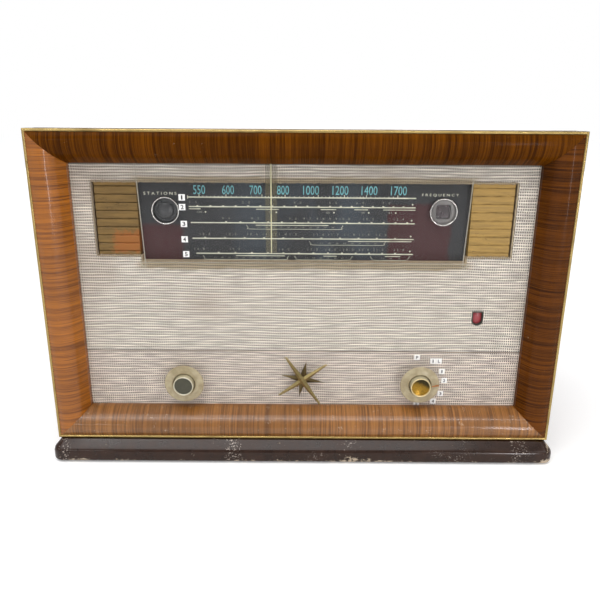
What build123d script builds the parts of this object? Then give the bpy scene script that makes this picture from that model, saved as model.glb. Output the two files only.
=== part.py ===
"""Table-top valve radio: veneered cabinet with a bolection front frame, cloth-covered baffle, lit dial with a
cord-driven pointer, two dual control knobs, speaker, chassis and a vented back cover.

Row frame: +X right seen from the front, +Y from front to back, +Z up, origin on the table under the middle of the
whole set. Most pieces are placed by x, by depth (mm behind the front frame's face) and by height (mm above the
front frame's underside)."""
from build123d import *
from math import acos, atan2, cos, degrees, hypot, pi, radians, sin
import os

# ---- driving dimensions, millimetres -------------------------------------------------------------------------
FRAME_W, FRAME_H = 540.0, 330.0          # front frame, outside
FRONT_Y, BASE_Z = -115.0, 25.0           # face and underside of the front frame in the row frame
RAIL_W, LOW_RAIL_W = 33.0, 30.6          # width of the frame's moulding; the bottom one is narrower
EDGE_T = 2.5                             # width of the step that the brass edge fills
TRIM_LAP = 11.0                          # depth the brass edge reaches back over the frame
REBATE_T, REBATE_D = 14.0, 22.4          # rebate behind the moulding that takes cloth and baffle
RAIL_BACK = 32.0                         # depth where the frame ends and the cabinet boards begin
CABINET_BACK = 237.0                     # depth of the boards' rear edges
BOARD = 10.0                             # cabinet board thickness
BOARD_INSET = 1.5                        # boards sit this far inside the frame's outline
BACK_HALF_W = 257.0                      # half the cabinet's width at its rear edge
COVER_T = 3.0                            # back cover thickness
SCREW_HEAD_H = 2.0
PLINTH_H, FOOT_H = 22.3, 2.0
PLINTH_HALF_W, PLINTH_BACK_HALF_W = 276.0, 265.0
PLINTH_PROUD = 12.0                      # the plinth's nose in front of the frame
PLINTH_RAIL = 26.0
PLINTH_CORNER, PLINTH_SLOPE = 10.5, 9.5   # corner radius in plan, width of the sloping top edge

CLOTH_D, CLOTH_T = 22.5, 1.0
BAFFLE_D, BAFFLE_T = 23.5, 8.0
BAFFLE_HALF_W, BAFFLE_LOW, BAFFLE_HIGH = 254.5, 15.5, 311.5
SEAM_H = 94.5                            # the two cloths meet on this line
GLASS_D, GLASS_T, GLASS_HALF_W, GLASS_LOW, GLASS_HIGH = 17.3, 2.5, 170.5, 190.3, 312.0
WINDOW_HALF_W, WINDOW_LOW, WINDOW_HIGH = 169.5, 195.5, 278.5
END_WINDOW_HALF_W, END_WINDOW_LOW = 216.0, 201.5
GOLD_W, GOLD_H, GOLD_RIBS = 44.0, 76.0, 9
RING_X, RING_H, RING_R = 143.5, 248.0, 14.7
PILOT_X, PILOT_H, PILOT_W, PILOT_TALL = 187.3, 134.0, 12.0, 15.6

LEFT_KNOB_X, RIGHT_KNOB_X, KNOB_H = -130.3, 127.7, 60.5    # both control axes
RING_KNOB_R, HUB_R, CAP_R = 21.4, 11.4, 9.9
SHAFT_R, SLEEVE_R, SLEEVE_BORE = 3.0, 5.0, 3.4
STAR_X, STAR_H, STAR_TURN = 0.2, 63.4, 33.8
STAR_LONG, STAR_SHORT = 35.2, 22.5

SPEAKER_X, SPEAKER_H, SPEAKER_R, SPEAKER_HOLE_R = -62.0, 141.5, 53.5, 46.5
CORD_D, CORD_R = 55.0, 0.4               # depth of the dial cord's plane, cord radius
SPINDLE_R, PULLEY_R, DRUM_R = 5.9, 8.5, 73.5     # radii of the cord's centre line
DRUM_X, DRUM_H = 84.0, 165.0
PULLEYS = {"left": (-150.0, 303.0), "right": (209.5, 303.0)}
POINTER_X = -34.0                        # where the pointer stands at rest
RAIL_D, RAIL_H, RAIL_ROD_R = 40.0, 306.0, 1.5
CHASSIS_D, CHASSIS_TOP, CHASSIS_BACK = 92.0, 84.0, 212.0
BAND_SHAFT_X, BAND_DRUM_R, BAND_CORD_D = 81.0, 11.0, 41.0
GAP = 0.3                                # clearance between moving curved faces

os.makedirs("parts", exist_ok=True)


# ---- helpers -------------------------------------------------------------------------------------------------
def block(x, d, h):
    """Box between pairs of x, depth and height."""
    size = Box(x[1] - x[0], d[1] - d[0], h[1] - h[0])
    return Pos((x[0] + x[1]) / 2, FRONT_Y + (d[0] + d[1]) / 2, BASE_Z + (h[0] + h[1]) / 2) * size


def rod(x, h, r, d0, d1):
    """Cylinder that runs from front to back, between two depths."""
    return Pos(x, FRONT_Y + (d0 + d1) / 2, BASE_Z + h) * Rot(X=90) * Cylinder(r, d1 - d0)


def tube(x, h, r_out, r_in, d0, d1):
    """Hollow cylinder that runs from front to back."""
    return rod(x, h, r_out, d0, d1) - rod(x, h, r_in, d0 - 1, d1 + 1)


def prism(points, amount):
    """Straight-sided solid that rises from a polygon in plan."""
    return extrude(Polygon(*points, align=None), amount=amount, dir=(0, 0, 1))


def slab(outline, d0, d1):
    """Upright plate: an outline in x and height, between two depths."""
    return Pos(0, FRONT_Y + d1, BASE_Z) * Rot(X=90) * extrude(outline, amount=d1 - d0, dir=(0, 0, 1))


def turned(profile, x, h):
    """Solid of revolution about a front-to-back axis; the profile is (radius, depth) points."""
    points = [(r, d) for r, d in profile]
    face = make_face(Polyline(*points, close=True))
    solid = revolve(face, axis=Axis.Y)
    return Pos(x, FRONT_Y, BASE_Z + h) * solid


def rectangle(x, h):
    """Rectangle outline between pairs of x and height."""
    return Pos((x[0] + x[1]) / 2, (h[0] + h[1]) / 2) * Rectangle(x[1] - x[0], h[1] - h[0])


def save(name, *solids):
    """Writes one node: one or more separate solids."""
    found = [s for part in solids for s in part.solids()]
    shape = found[0] if len(found) == 1 else Compound(children=[Solid(s.wrapped) for s in found])
    export_step(shape, f"parts/{name}.step")


# ---- front frame, trim and cabinet ---------------------------------------------------------------------------
def rail_section(width):
    """The moulding in (t, depth): t runs from the frame's outer edge inwards."""
    share = (width - EDGE_T) / (RAIL_W - EDGE_T)
    crown = [(8, -2.4), (14, -2.5), (20, -0.3), (26, 4.6), (RAIL_W, 16.2)]
    nose = Spline((EDGE_T, -0.3), *[(EDGE_T + (t - EDGE_T) * share, d) for t, d in crown])
    rest = Polyline((width, 16.2), (width, REBATE_D), (REBATE_T, REBATE_D), (REBATE_T, RAIL_BACK),
                    (0, RAIL_BACK), (0, 6), (EDGE_T, 6), (EDGE_T, -0.3))
    return make_face([nose, rest])


def trim_section():
    """The brass edge strip in (t, depth): a rounded front and a thin lap over the frame's outer face."""
    return make_face([Line((-0.5, TRIM_LAP), (-0.5, 0.6)), ThreePointArc((-0.5, 0.6), (1.0, -0.9), (2.5, 0.6)),
                      Line((2.5, 0.6), (2.5, 6)), Line((2.5, 6), (0, 6)), Line((0, 6), (0, TRIM_LAP)),
                      Line((0, TRIM_LAP), (-0.5, TRIM_LAP))])


def mitred(section, side):
    """One side of a mitred frame: the section run along that side and cut from outer to inner corner."""
    half = {"top": FRAME_W, "bottom": FRAME_W, "left": FRAME_H, "right": FRAME_H}[side] / 2
    other = {"top": FRAME_H, "bottom": FRAME_H, "left": FRAME_W, "right": FRAME_W}[side] / 2
    long_run = extrude(section, amount=2 * half + 20, dir=(0, 0, 1))
    piece = Pos(-half - 10, 0, other) * Rot(Y=90) * long_run
    own = LOW_RAIL_W if side == "bottom" else RAIL_W
    near_left = LOW_RAIL_W if side == "left" else RAIL_W
    near_right = LOW_RAIL_W if side == "right" else RAIL_W
    out, reach = 0.04, 1.8
    corners = ((-half - near_left * out, other + own * out), (half + near_right * out, other + own * out),
               (half - near_right * reach, other - own * reach), (-half + near_left * reach, other - own * reach))
    wedge = Pos(0, 100, 0) * Rot(X=90) * prism(corners, 200)
    turn = {"top": 0, "bottom": 180, "left": -90, "right": 90}[side]
    return Pos(0, FRONT_Y, BASE_Z + FRAME_H / 2) * Rot(Y=turn) * (piece & wedge)


def front_frame():
    section, trim = rail_section(RAIL_W), trim_section()
    rails = {side: mitred(section, side) for side in ("top", "left", "right")}
    rails["bottom"] = mitred(rail_section(LOW_RAIL_W), "bottom")
    # pocket behind the top rail for the upper edge of the glass and the pointer
    rails["top"] -= block((-GLASS_HALF_W - 1.5, GLASS_HALF_W + 1.5), (17.0, RAIL_BACK + 1), (290, 316.5))
    save("frame_top_rail", rails["top"])
    save("frame_bottom_rail", rails["bottom"])
    save("frame_left_stile", rails["left"])
    save("frame_right_stile", rails["right"])
    save("brass_edge_trim", *[mitred(trim, side) for side in ("top", "bottom", "left", "right")])


def half_width(depth, inset=0.0):
    """Half the cabinet's outside width at a depth: the sides draw in towards the back."""
    front = FRAME_W / 2 - BOARD_INSET
    share = (depth - RAIL_BACK) / (CABINET_BACK - RAIL_BACK)
    return front + (BACK_HALF_W - front) * share - inset


def cabinet():
    front, back = half_width(RAIL_BACK), half_width(CABINET_BACK)
    board = prism(((-front, FRONT_Y + RAIL_BACK), (front, FRONT_Y + RAIL_BACK),
                   (back, FRONT_Y + CABINET_BACK), (-back, FRONT_Y + CABINET_BACK)), BOARD)
    top = Pos(0, 0, BASE_Z + FRAME_H - BOARD_INSET - BOARD) * board
    long_edges = [e for e in top.edges().filter_by(GeomType.LINE)
                  if e.length > 200 and abs(e.center().X) > 200 and e.center().Z > BASE_Z + 325]
    save("cabinet_top", fillet(long_edges, 2.5))
    save("cabinet_bottom", Pos(0, 0, BASE_Z + BOARD_INSET) * board)
    low, high = BOARD_INSET + BOARD, FRAME_H - BOARD_INSET - BOARD
    for name, sign in (("cabinet_left_side", -1), ("cabinet_right_side", 1)):
        corners = ((sign * front, FRONT_Y + RAIL_BACK), (sign * back, FRONT_Y + CABINET_BACK),
                   (sign * (back - BOARD), FRONT_Y + CABINET_BACK), (sign * (front - BOARD), FRONT_Y + RAIL_BACK))
        save(name, Pos(0, 0, BASE_Z + low) * prism(corners, high - low))


def plinth():
    nose, tail = FRONT_Y - PLINTH_PROUD, FRONT_Y + CABINET_BACK - 7
    wide, narrow = PLINTH_HALF_W, PLINTH_BACK_HALF_W
    body = prism(((-wide, nose), (wide, nose), (narrow, tail), (-narrow, tail)), PLINTH_H)
    corners = [e for e in body.edges().filter_by(Axis.Z) if e.center().Y < 0]
    body = fillet(corners, PLINTH_CORNER)
    body = chamfer([e for e in body.faces().sort_by(Axis.Z)[-1].edges() if e.center().Y < tail - 1], PLINTH_SLOPE)
    nose_h = PLINTH_H - PLINTH_SLOPE
    body = fillet([e for e in body.edges() if abs(e.center().Z - nose_h) < 0.01 and e.center().Y < tail - 1], 6)
    body = fillet([e for e in body.faces().sort_by(Axis.Z)[0].edges() if e.center().Y < tail - 1], 2.5)
    inner_front, inner_back = nose + PLINTH_RAIL, tail - PLINTH_RAIL
    wi, ni = wide - PLINTH_RAIL, narrow - PLINTH_RAIL
    hollow = prism(((-wi, inner_front), (wi, inner_front), (ni, inner_back), (-ni, inner_back)), PLINTH_H + 2)
    ring = Pos(0, 0, FOOT_H) * (body - Pos(0, 0, -1) * hollow)
    far = 40
    cuts = {
        "plinth_front": ((-wide - far, nose - far), (wide + far, nose - far), (wi, inner_front), (-wi, inner_front)),
        "plinth_back": ((-ni, inner_back), (ni, inner_back), (narrow + far, tail + far),
                        (-narrow - far, tail + far)),
        "plinth_right": ((wi, inner_front), (wide + far, nose - far), (narrow + far, tail + far),
                         (ni, inner_back)),
        "plinth_left": ((-wide - far, nose - far), (-wi, inner_front), (-ni, inner_back),
                        (-narrow - far, tail + far)),
    }
    packer = {"plinth_left": -1, "plinth_right": 1}
    for name, points in cuts.items():
        rail = ring & Pos(0, 0, -5) * prism(points, PLINTH_H + 20)
        if name in packer:
            edges = sorted((packer[name] * 239, packer[name] * 248))
            rail += block(edges, (45, 200), (FOOT_H + 10 - BASE_Z, BOARD_INSET))
        save(name, rail)
    pads = [Pos(sx * 248, y, FOOT_H / 2) * Cylinder(9, FOOT_H) for sx in (-1, 1) for y in (-112, 100)]
    save("felt_feet", *pads)


# ---- baffle, cloth and dial ----------------------------------------------------------------------------------
def window_outline(grow=0.0):
    """The dial opening: a wide centre with shallower ends."""
    centre = rectangle((-WINDOW_HALF_W - grow, WINDOW_HALF_W + grow), (WINDOW_LOW - grow, WINDOW_HIGH + grow))
    ends = rectangle((-END_WINDOW_HALF_W - grow, END_WINDOW_HALF_W + grow),
                     (END_WINDOW_LOW - grow, WINDOW_HIGH + grow))
    return centre + ends


def pilot_outline(shrink=0.0):
    """The pilot window: square shoulders above a round foot."""
    r = PILOT_W / 2 - shrink
    foot_h = PILOT_H - PILOT_TALL / 2 + PILOT_W / 2
    head = PILOT_H + PILOT_TALL / 2 - shrink
    return Pos(PILOT_X, foot_h) * Circle(r) + rectangle((PILOT_X - r, PILOT_X + r), (foot_h, head))


def baffle_and_cloth():
    board = rectangle((-BAFFLE_HALF_W, BAFFLE_HALF_W), (BAFFLE_LOW, BAFFLE_HIGH))
    board -= window_outline()
    board -= Pos(SPEAKER_X, SPEAKER_H) * Circle(SPEAKER_HOLE_R)
    board -= pilot_outline()
    board -= Pos(STAR_X, STAR_H) * Circle(2.0)
    for x in (LEFT_KNOB_X, RIGHT_KNOB_X):
        board -= Pos(x, KNOB_H) * Circle(8.0)
    save("baffle_board", slab(board, BAFFLE_D, BAFFLE_D + BAFFLE_T))
    upper = rectangle((-BAFFLE_HALF_W, BAFFLE_HALF_W), (SEAM_H + 0.2, BAFFLE_HIGH))
    upper = upper - window_outline() - pilot_outline()
    save("grille_cloth", slab(upper, CLOTH_D, CLOTH_D + CLOTH_T))
    lower = rectangle((-BAFFLE_HALF_W, BAFFLE_HALF_W), (BAFFLE_LOW, SEAM_H - 0.2))
    lower -= Pos(STAR_X, STAR_H) * Circle(2.0)
    for x in (LEFT_KNOB_X, RIGHT_KNOB_X):
        lower -= Pos(x, KNOB_H) * Circle(8.0)
    save("control_cloth", slab(lower, CLOTH_D, CLOTH_D + CLOTH_T))
    save("shaft_bushes", *[tube(x, KNOB_H, 8.0, SLEEVE_R + 0.1, CLOTH_D, BAFFLE_D + BAFFLE_T + 1)
                           for x in (LEFT_KNOB_X, RIGHT_KNOB_X)])


def dial():
    glass = rectangle((-GLASS_HALF_W, GLASS_HALF_W), (GLASS_LOW, GLASS_HIGH))
    glass = fillet([v for v in glass.vertices() if v.Y < GLASS_LOW + 1], 5)
    save("dial_glass", slab(glass, GLASS_D, GLASS_D + GLASS_T))
    plate_d = BAFFLE_D + BAFFLE_T
    plate = rectangle((-END_WINDOW_HALF_W - 8, END_WINDOW_HALF_W + 8), (WINDOW_LOW - 0.2, WINDOW_HIGH + 6))
    plate -= Pos(-RING_X, RING_H) * Circle(12.3)
    plate -= Pos(RING_X, RING_H) * Rectangle(15.5, 15.5)
    save("dial_back_plate", slab(plate, plate_d, plate_d + 1.2))
    inner_x = WINDOW_HALF_W + 1.5
    for name, sign in (("gold_panel_left", -1), ("gold_panel_right", 1)):
        low = END_WINDOW_LOW + 0.5
        edges = sorted((sign * inner_x, sign * (inner_x + GOLD_W)))
        panel = block(edges, (23.0, plate_d), (low, low + GOLD_H))
        for k in range(GOLD_RIBS):
            h = low + (k + 0.47) * GOLD_H / GOLD_RIBS
            panel -= block((edges[0] - 1, edges[1] + 1), (22.0, 23.8), (h - 0.45, h + 0.45))
        save(name, panel)
    ring = [(12.4, plate_d), (12.4, plate_d - 4.0), (12.9, plate_d - 5.2), (13.6, plate_d - 5.6),
            (14.3, plate_d - 5.2), (RING_R, plate_d - 4.0), (RING_R, plate_d)]
    save("dial_rings", turned(ring, -RING_X, RING_H), turned(ring, RING_X, RING_H))
    mask = slab(Pos(RING_X, RING_H) * (Circle(12.3) - RectangleRounded(14.5, 14.5, 2)), plate_d - 1.5, plate_d)
    save("indicator_mask", mask)
    eye = [(0, 25.5), (6, 26.3), (10, 28.2), (12.2, 31.0), (12.2, 92), (14, 93), (14, 112), (0, 112)]
    save("tuning_eye_tube", turned(eye, -RING_X, RING_H))
    save("pilot_jewel", slab(pilot_outline(0.2), 26.5, plate_d))


def lamps():
    places = ((PILOT_X, PILOT_H), (-195.0, 240.0), (195.0, 240.0))
    bulb = [(0, 34.5), (3, 35), (5, 38), (5, 42), (6.5, 44), (6.5, 50), (0, 50)]
    save("lamps", *[turned(bulb, x, h) for x, h in places])
    plate_d = BAFFLE_D + BAFFLE_T
    brackets = []
    for (x, h), start in zip(places, (plate_d, plate_d + 1.2, plate_d + 1.2)):
        arm = block((x - 4, x + 4), (start, 51.2), (h + 9, h + 10.2))
        brackets.append(arm + block((x - 4, x + 4), (50.0, 51.2), (h - 4, h + 10.2)))
    save("lamp_brackets", *brackets)


def star_solid(long_r, waist_r, base_d, apex_d, turn):
    """Four-pointed star: a ruled pyramid from an eight-cornered outline up to one apex."""
    corners = []
    for k in range(8):
        r = long_r if k % 2 == 0 else waist_r
        a = radians(turn + 45 * k)
        corners.append(Vector(STAR_X + r * cos(a), FRONT_Y + base_d, BASE_Z + STAR_H + r * sin(a)))
    outline = Wire.make_polygon(corners, close=True)
    apex = Vertex(STAR_X, FRONT_Y + apex_d, BASE_Z + STAR_H)
    return Solid.make_loft([outline, apex], ruled=True)


def emblem():
    front = star_solid(STAR_LONG, 4.2, 14.6, 8.5, STAR_TURN)
    rear = star_solid(STAR_SHORT, 5.2, 16.0, 11.5, STAR_TURN + 45)
    base = rod(STAR_X, STAR_H, 3.4, 14.0, CLOTH_D)
    pin = rod(STAR_X, STAR_H, 1.9, 19.5, BAFFLE_D + BAFFLE_T)
    save("starburst_emblem", front + rear + base + pin)


# ---- controls ------------------------------------------------------------------------------------------------
def ring_knob(x):
    """Clear outer knob: a dished disc, a cup round the inner knob and a seat for the sleeve."""
    section = [(12.0, 9.0), (13.5, 8.6), (19.5, 9.4), (RING_KNOB_R, 10.4), (RING_KNOB_R, 11.6), (14.4, 11.4),
               (14.0, 19.6), (SLEEVE_R, 19.6), (SLEEVE_R, 18.0), (12.0, 18.0)]
    return turned(section, x, KNOB_H)


def hub_knob(x):
    """Inner knob: a drum with a recess in its face and a blind hole for the shaft."""
    section = [(0, 6.6), (CAP_R, 6.6), (CAP_R, 3.4), (10.4, 2.8), (11.0, 2.9), (HUB_R, 3.6), (HUB_R, 17.0),
               (SHAFT_R, 17.0), (SHAFT_R, 9.0), (0, 9.0)]
    return turned(section, x, KNOB_H)


def controls():
    sleeve_end = CHASSIS_D + 3
    tone = ring_knob(LEFT_KNOB_X) + tube(LEFT_KNOB_X, KNOB_H, SLEEVE_R, SLEEVE_BORE, 18.0, sleeve_end)
    save("tone_ring", tone)
    save("volume_knob", hub_knob(LEFT_KNOB_X))
    save("volume_shaft", rod(LEFT_KNOB_X, KNOB_H, SHAFT_R, 9.0, 118))
    drum = tube(RIGHT_KNOB_X, KNOB_H, BAND_DRUM_R + 1.6, SLEEVE_BORE, BAND_CORD_D - 3, BAND_CORD_D + 3)
    drum -= tube(RIGHT_KNOB_X, KNOB_H, BAND_DRUM_R + 3, BAND_DRUM_R - 0.7, BAND_CORD_D - 1.5, BAND_CORD_D + 1.5)
    band = ring_knob(RIGHT_KNOB_X) + tube(RIGHT_KNOB_X, KNOB_H, SLEEVE_R, SLEEVE_BORE, 18.0, BAND_CORD_D + 3) + drum
    save("band_ring", band)
    save("tuning_knob", hub_knob(RIGHT_KNOB_X))
    cap = [(0, 5.2), (4, 4.9), (8, 3.9), (9.6, 3.5), (9.6, 4.3), (9.0, 6.6), (0, 6.6)]
    save("tuning_knob_cap", turned(cap, RIGHT_KNOB_X, KNOB_H))
    spindle = [(0, 9.0), (SHAFT_R, 9.0), (SHAFT_R, CORD_D - 5), (7.4, CORD_D - 5), (7.4, CORD_D - 3),
               (SPINDLE_R - CORD_R - GAP, CORD_D - 2), (SPINDLE_R - CORD_R - GAP, CORD_D + 2),
               (7.4, CORD_D + 3), (7.4, CORD_D + 5), (22, CORD_D + 5), (22, CORD_D + 16), (8, CORD_D + 16),
               (8, CORD_D + 20), (SHAFT_R, CORD_D + 20), (SHAFT_R, CHASSIS_D + 6), (0, CHASSIS_D + 6)]
    save("tuning_shaft", turned(spindle, RIGHT_KNOB_X, KNOB_H))
    body = rod(LEFT_KNOB_X, KNOB_H, 14, CHASSIS_D + 1.2, 121)
    body -= rod(LEFT_KNOB_X, KNOB_H, SLEEVE_R + GAP, CHASSIS_D, sleeve_end + 1)
    body -= rod(LEFT_KNOB_X, KNOB_H, SHAFT_R + GAP, CHASSIS_D, 118.5)
    save("volume_tone_control", body)
    wafers = [tube(BAND_SHAFT_X, KNOB_H, 17, 8.5, d, d + 2.5) for d in (102, 122)]
    posts = [rod(BAND_SHAFT_X + s * 14, KNOB_H, 2, CHASSIS_D + 1.2, 126) for s in (-1, 1)]
    save("band_switch", wafers[0] + wafers[1] + posts[0] + posts[1])
    groove = BAND_DRUM_R - 0.7
    rotor = [(0, BAND_CORD_D - 4), (BAND_DRUM_R + 1.6, BAND_CORD_D - 3), (BAND_DRUM_R + 1.6, BAND_CORD_D - 1.5),
             (groove, BAND_CORD_D - 1.5), (groove, BAND_CORD_D + 1.5), (BAND_DRUM_R + 1.6, BAND_CORD_D + 1.5),
             (BAND_DRUM_R + 1.6, BAND_CORD_D + 3), (SHAFT_R, BAND_CORD_D + 3), (SHAFT_R, 102), (8, 102),
             (8, 104.5), (SHAFT_R, 104.5), (SHAFT_R, 122), (8, 122), (8, 124.5), (SHAFT_R, 124.5),
             (SHAFT_R, 130), (0, 130)]
    save("band_switch_rotor", turned(rotor, BAND_SHAFT_X, KNOB_H))


# ---- dial drive ----------------------------------------------------------------------------------------------
def spool(x, h, r):
    """Idler pulley: a hub with two rims, running on a post."""
    floor, rim = r - CORD_R - GAP, r + 1.3
    section = [(2.1, CORD_D - 3), (rim, CORD_D - 3), (rim, CORD_D - 1.5), (floor, CORD_D - 1.5),
               (floor, CORD_D + 1.5), (rim, CORD_D + 1.5), (rim, CORD_D + 3), (2.1, CORD_D + 3)]
    return turned(section, x, h)


def outer_tangent(a, ra, b, rb):
    """Where a cord that runs clockwise round two wheels leaves wheel a and meets wheel b."""
    dx, dz = b[0] - a[0], b[1] - a[1]
    base, lean = atan2(dz, dx), acos((ra - rb) / hypot(dx, dz))
    angle = base + lean
    return ((a[0] + ra * cos(angle), a[1] + ra * sin(angle)), (b[0] + rb * cos(angle), b[1] + rb * sin(angle)))


def run(a, b, r=CORD_R, depth=CORD_D):
    """A straight length of cord between two points in the plane of the drive."""
    length = hypot(b[0] - a[0], b[1] - a[1])
    tilt = degrees(atan2(b[0] - a[0], b[1] - a[1]))
    middle = Pos((a[0] + b[0]) / 2, FRONT_Y + depth, BASE_Z + (a[1] + b[1]) / 2)
    return middle * Rot(Y=tilt) * Cylinder(r, length)


def turns(centre, r, thick, depth=CORD_D):
    """The cord's turns round a wheel, as one ring."""
    return Pos(centre[0], FRONT_Y + depth, BASE_Z + centre[1]) * Rot(X=90) * Torus(r, thick)


def dial_drive():
    spindle, drum = (RIGHT_KNOB_X, KNOB_H), (DRUM_X, DRUM_H)
    left, right = PULLEYS["left"], PULLEYS["right"]
    wheels = [(spindle, SPINDLE_R), (drum, DRUM_R), (left, PULLEY_R), (right, PULLEY_R)]
    loop = turns(drum, DRUM_R, 0.65)
    for k, (a, ra) in enumerate(wheels):
        b, rb = wheels[(k + 1) % len(wheels)]
        start, end = outer_tangent(a, ra, b, rb)
        loop += run(start, end)
    for centre, r in ((spindle, SPINDLE_R), (left, PULLEY_R), (right, PULLEY_R)):
        loop += turns(centre, r, 0.45)
    switch = (BAND_SHAFT_X, KNOB_H)
    top, bottom = KNOB_H + BAND_DRUM_R, KNOB_H - BAND_DRUM_R
    band = turns(spindle, BAND_DRUM_R, 0.45, BAND_CORD_D) + turns(switch, BAND_DRUM_R, 0.45, BAND_CORD_D)
    band += run((switch[0], top), (spindle[0], top), depth=BAND_CORD_D)
    band += run((switch[0], bottom), (spindle[0], bottom), depth=BAND_CORD_D)
    save("drive_cords", loop, band)
    for side, (x, h) in PULLEYS.items():
        save(f"pulley_{side}", spool(x, h, PULLEY_R))
    post = [(0, BAFFLE_D + BAFFLE_T), (4.5, BAFFLE_D + BAFFLE_T), (4.5, CORD_D - 3.4), (2.0, CORD_D - 3.4),
            (2.0, CORD_D + 3.4), (3.2, CORD_D + 3.4), (3.2, CORD_D + 5), (0, CORD_D + 5)]
    save("pulley_posts", *[turned(post, x, h) for x, h in PULLEYS.values()])
    drum_rim = DRUM_R + 2
    floor = DRUM_R - 0.65 - GAP
    section = [(SHAFT_R, CORD_D - 3), (drum_rim, CORD_D - 3), (drum_rim, CORD_D - 1.5), (floor, CORD_D - 1.5),
               (floor, CORD_D + 1.5), (drum_rim, CORD_D + 1.5), (drum_rim, CORD_D + 3), (10, CORD_D + 3),
               (10, CORD_D + 9), (SHAFT_R, CORD_D + 9)]
    wheel = turned(section, *drum)
    for k in range(5):
        a = radians(72 * k + 20)
        wheel -= rod(DRUM_X + 42 * cos(a), DRUM_H + 42 * sin(a), 17, CORD_D - 4, CORD_D + 4)
    save("tuning_drum", wheel)
    capacitor()
    bar = Pos(0, FRONT_Y + RAIL_D, BASE_Z + RAIL_H) * Rot(Y=90) * Cylinder(RAIL_ROD_R, 276)
    rail_ends = [block((sx * 139 - 1.5, sx * 139 + 1.5), (BAFFLE_D + BAFFLE_T, RAIL_D + 4), (295, 310.5))
                 for sx in (-1, 1)]
    save("pointer_rail", bar, *rail_ends)
    blade = block((POINTER_X - 6, POINTER_X + 6), (20.6, 21.6), (204.5, 314.0))
    save("pointer_blade", blade)
    bridge = block((POINTER_X - 5, POINTER_X + 5), (20.6, RAIL_D + 3), (314.0, 315.4))
    arm = block((POINTER_X - 5, POINTER_X + 5), (RAIL_D - 3, RAIL_D + 3), (303.0, 314.2))
    arm -= Pos(POINTER_X, FRONT_Y + RAIL_D, BASE_Z + RAIL_H) * Rot(Y=90) * Cylinder(RAIL_ROD_R + 0.08, 20)
    clip = block((POINTER_X - 4, POINTER_X + 4), (RAIL_D + 2, CORD_D + 2), (308.0, 310.9))
    save("pointer_carriage", bridge + arm + clip)


def capacitor():
    """Tuning capacitor on a raised bracket: frame, fixed plates and a rotor of half discs."""
    first, pitch, count, thin = 72.0, 5.0, 8, 1.2
    front, rear = (66.0, 68.0), (114.0, 116.0)
    x, h = DRUM_X, DRUM_H
    frame = block((x - 34, x + 34), front, (h - 40, h + 20)) + block((x - 34, x + 34), rear, (h - 40, h + 20))
    frame += block((x - 34, x + 34), (front[0], rear[1]), (h - 42, h - 40))
    for side in (-1, 1):
        frame += block((x + side * 33 - 1, x + side * 33 + 1), (front[0], rear[1]), (CHASSIS_TOP, h - 41))
    frame -= rod(x, h, SHAFT_R + 0.08, front[0] - 1, rear[1] + 1)
    for k in range(count - 1):
        d = first + pitch * (k + 0.5)
        leaf = block((x - 32, x - 5), (d, d + thin), (h - 30, h + 18))
        frame += leaf
    frame += block((x - 32, x - 29), (front[0], rear[1]), (h - 8, h - 2))
    save("tuning_capacitor", frame)
    rotor = rod(x, h, SHAFT_R, CORD_D - 4, 118)
    for k in range(count):
        d = first + pitch * k
        disc = rod(x, h, 26, d, d + thin)
        rotor += disc - block((x - 27, x + 27), (d - 1, d + thin + 1), (h + 0.5, h + 30))
    save("capacitor_rotor", rotor)


# ---- sound and electrics -------------------------------------------------------------------------------------
def speaker():
    """Speaker with its magnet, and the cone with its surround and voice-coil former."""
    d, hole = BAFFLE_D + BAFFLE_T, SPEAKER_HOLE_R
    section = [(hole - 2, d), (SPEAKER_R, d), (SPEAKER_R, d + 2.5), (hole + 3, d + 4), (32, d + 26),
               (32, d + 29), (28, d + 29), (28, d + 46), (0, d + 46), (0, d + 31.5), (11.5, d + 31.5),
               (11.5, d + 27.5), (28, d + 24), (hole, d + 2.5), (hole - 2, d + 1)]
    basket = turned(section, SPEAKER_X, SPEAKER_H)
    for k in range(4):
        a = radians(90 * k + 45)
        basket -= rod(SPEAKER_X + 40 * cos(a), SPEAKER_H + 40 * sin(a), 9, d + 5, d + 25)
    save("speaker_basket", basket)
    rim = hole - 3
    cone = [(0, d + 13), (6, d + 14), (10, d + 16), (rim - 4.5, d - 1), (rim - 2, d - 2), (rim, d - 1),
            (rim, d - 0.3), (rim - 2, d - 1.1), (rim - 4, d - 0.1), (10.5, d + 17.5), (10.5, d + 25.5),
            (9.7, d + 25.5), (9.7, d + 17.5), (7, d + 15), (0, d + 14)]
    save("speaker_cone", turned(cone, SPEAKER_X, SPEAKER_H))


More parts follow.
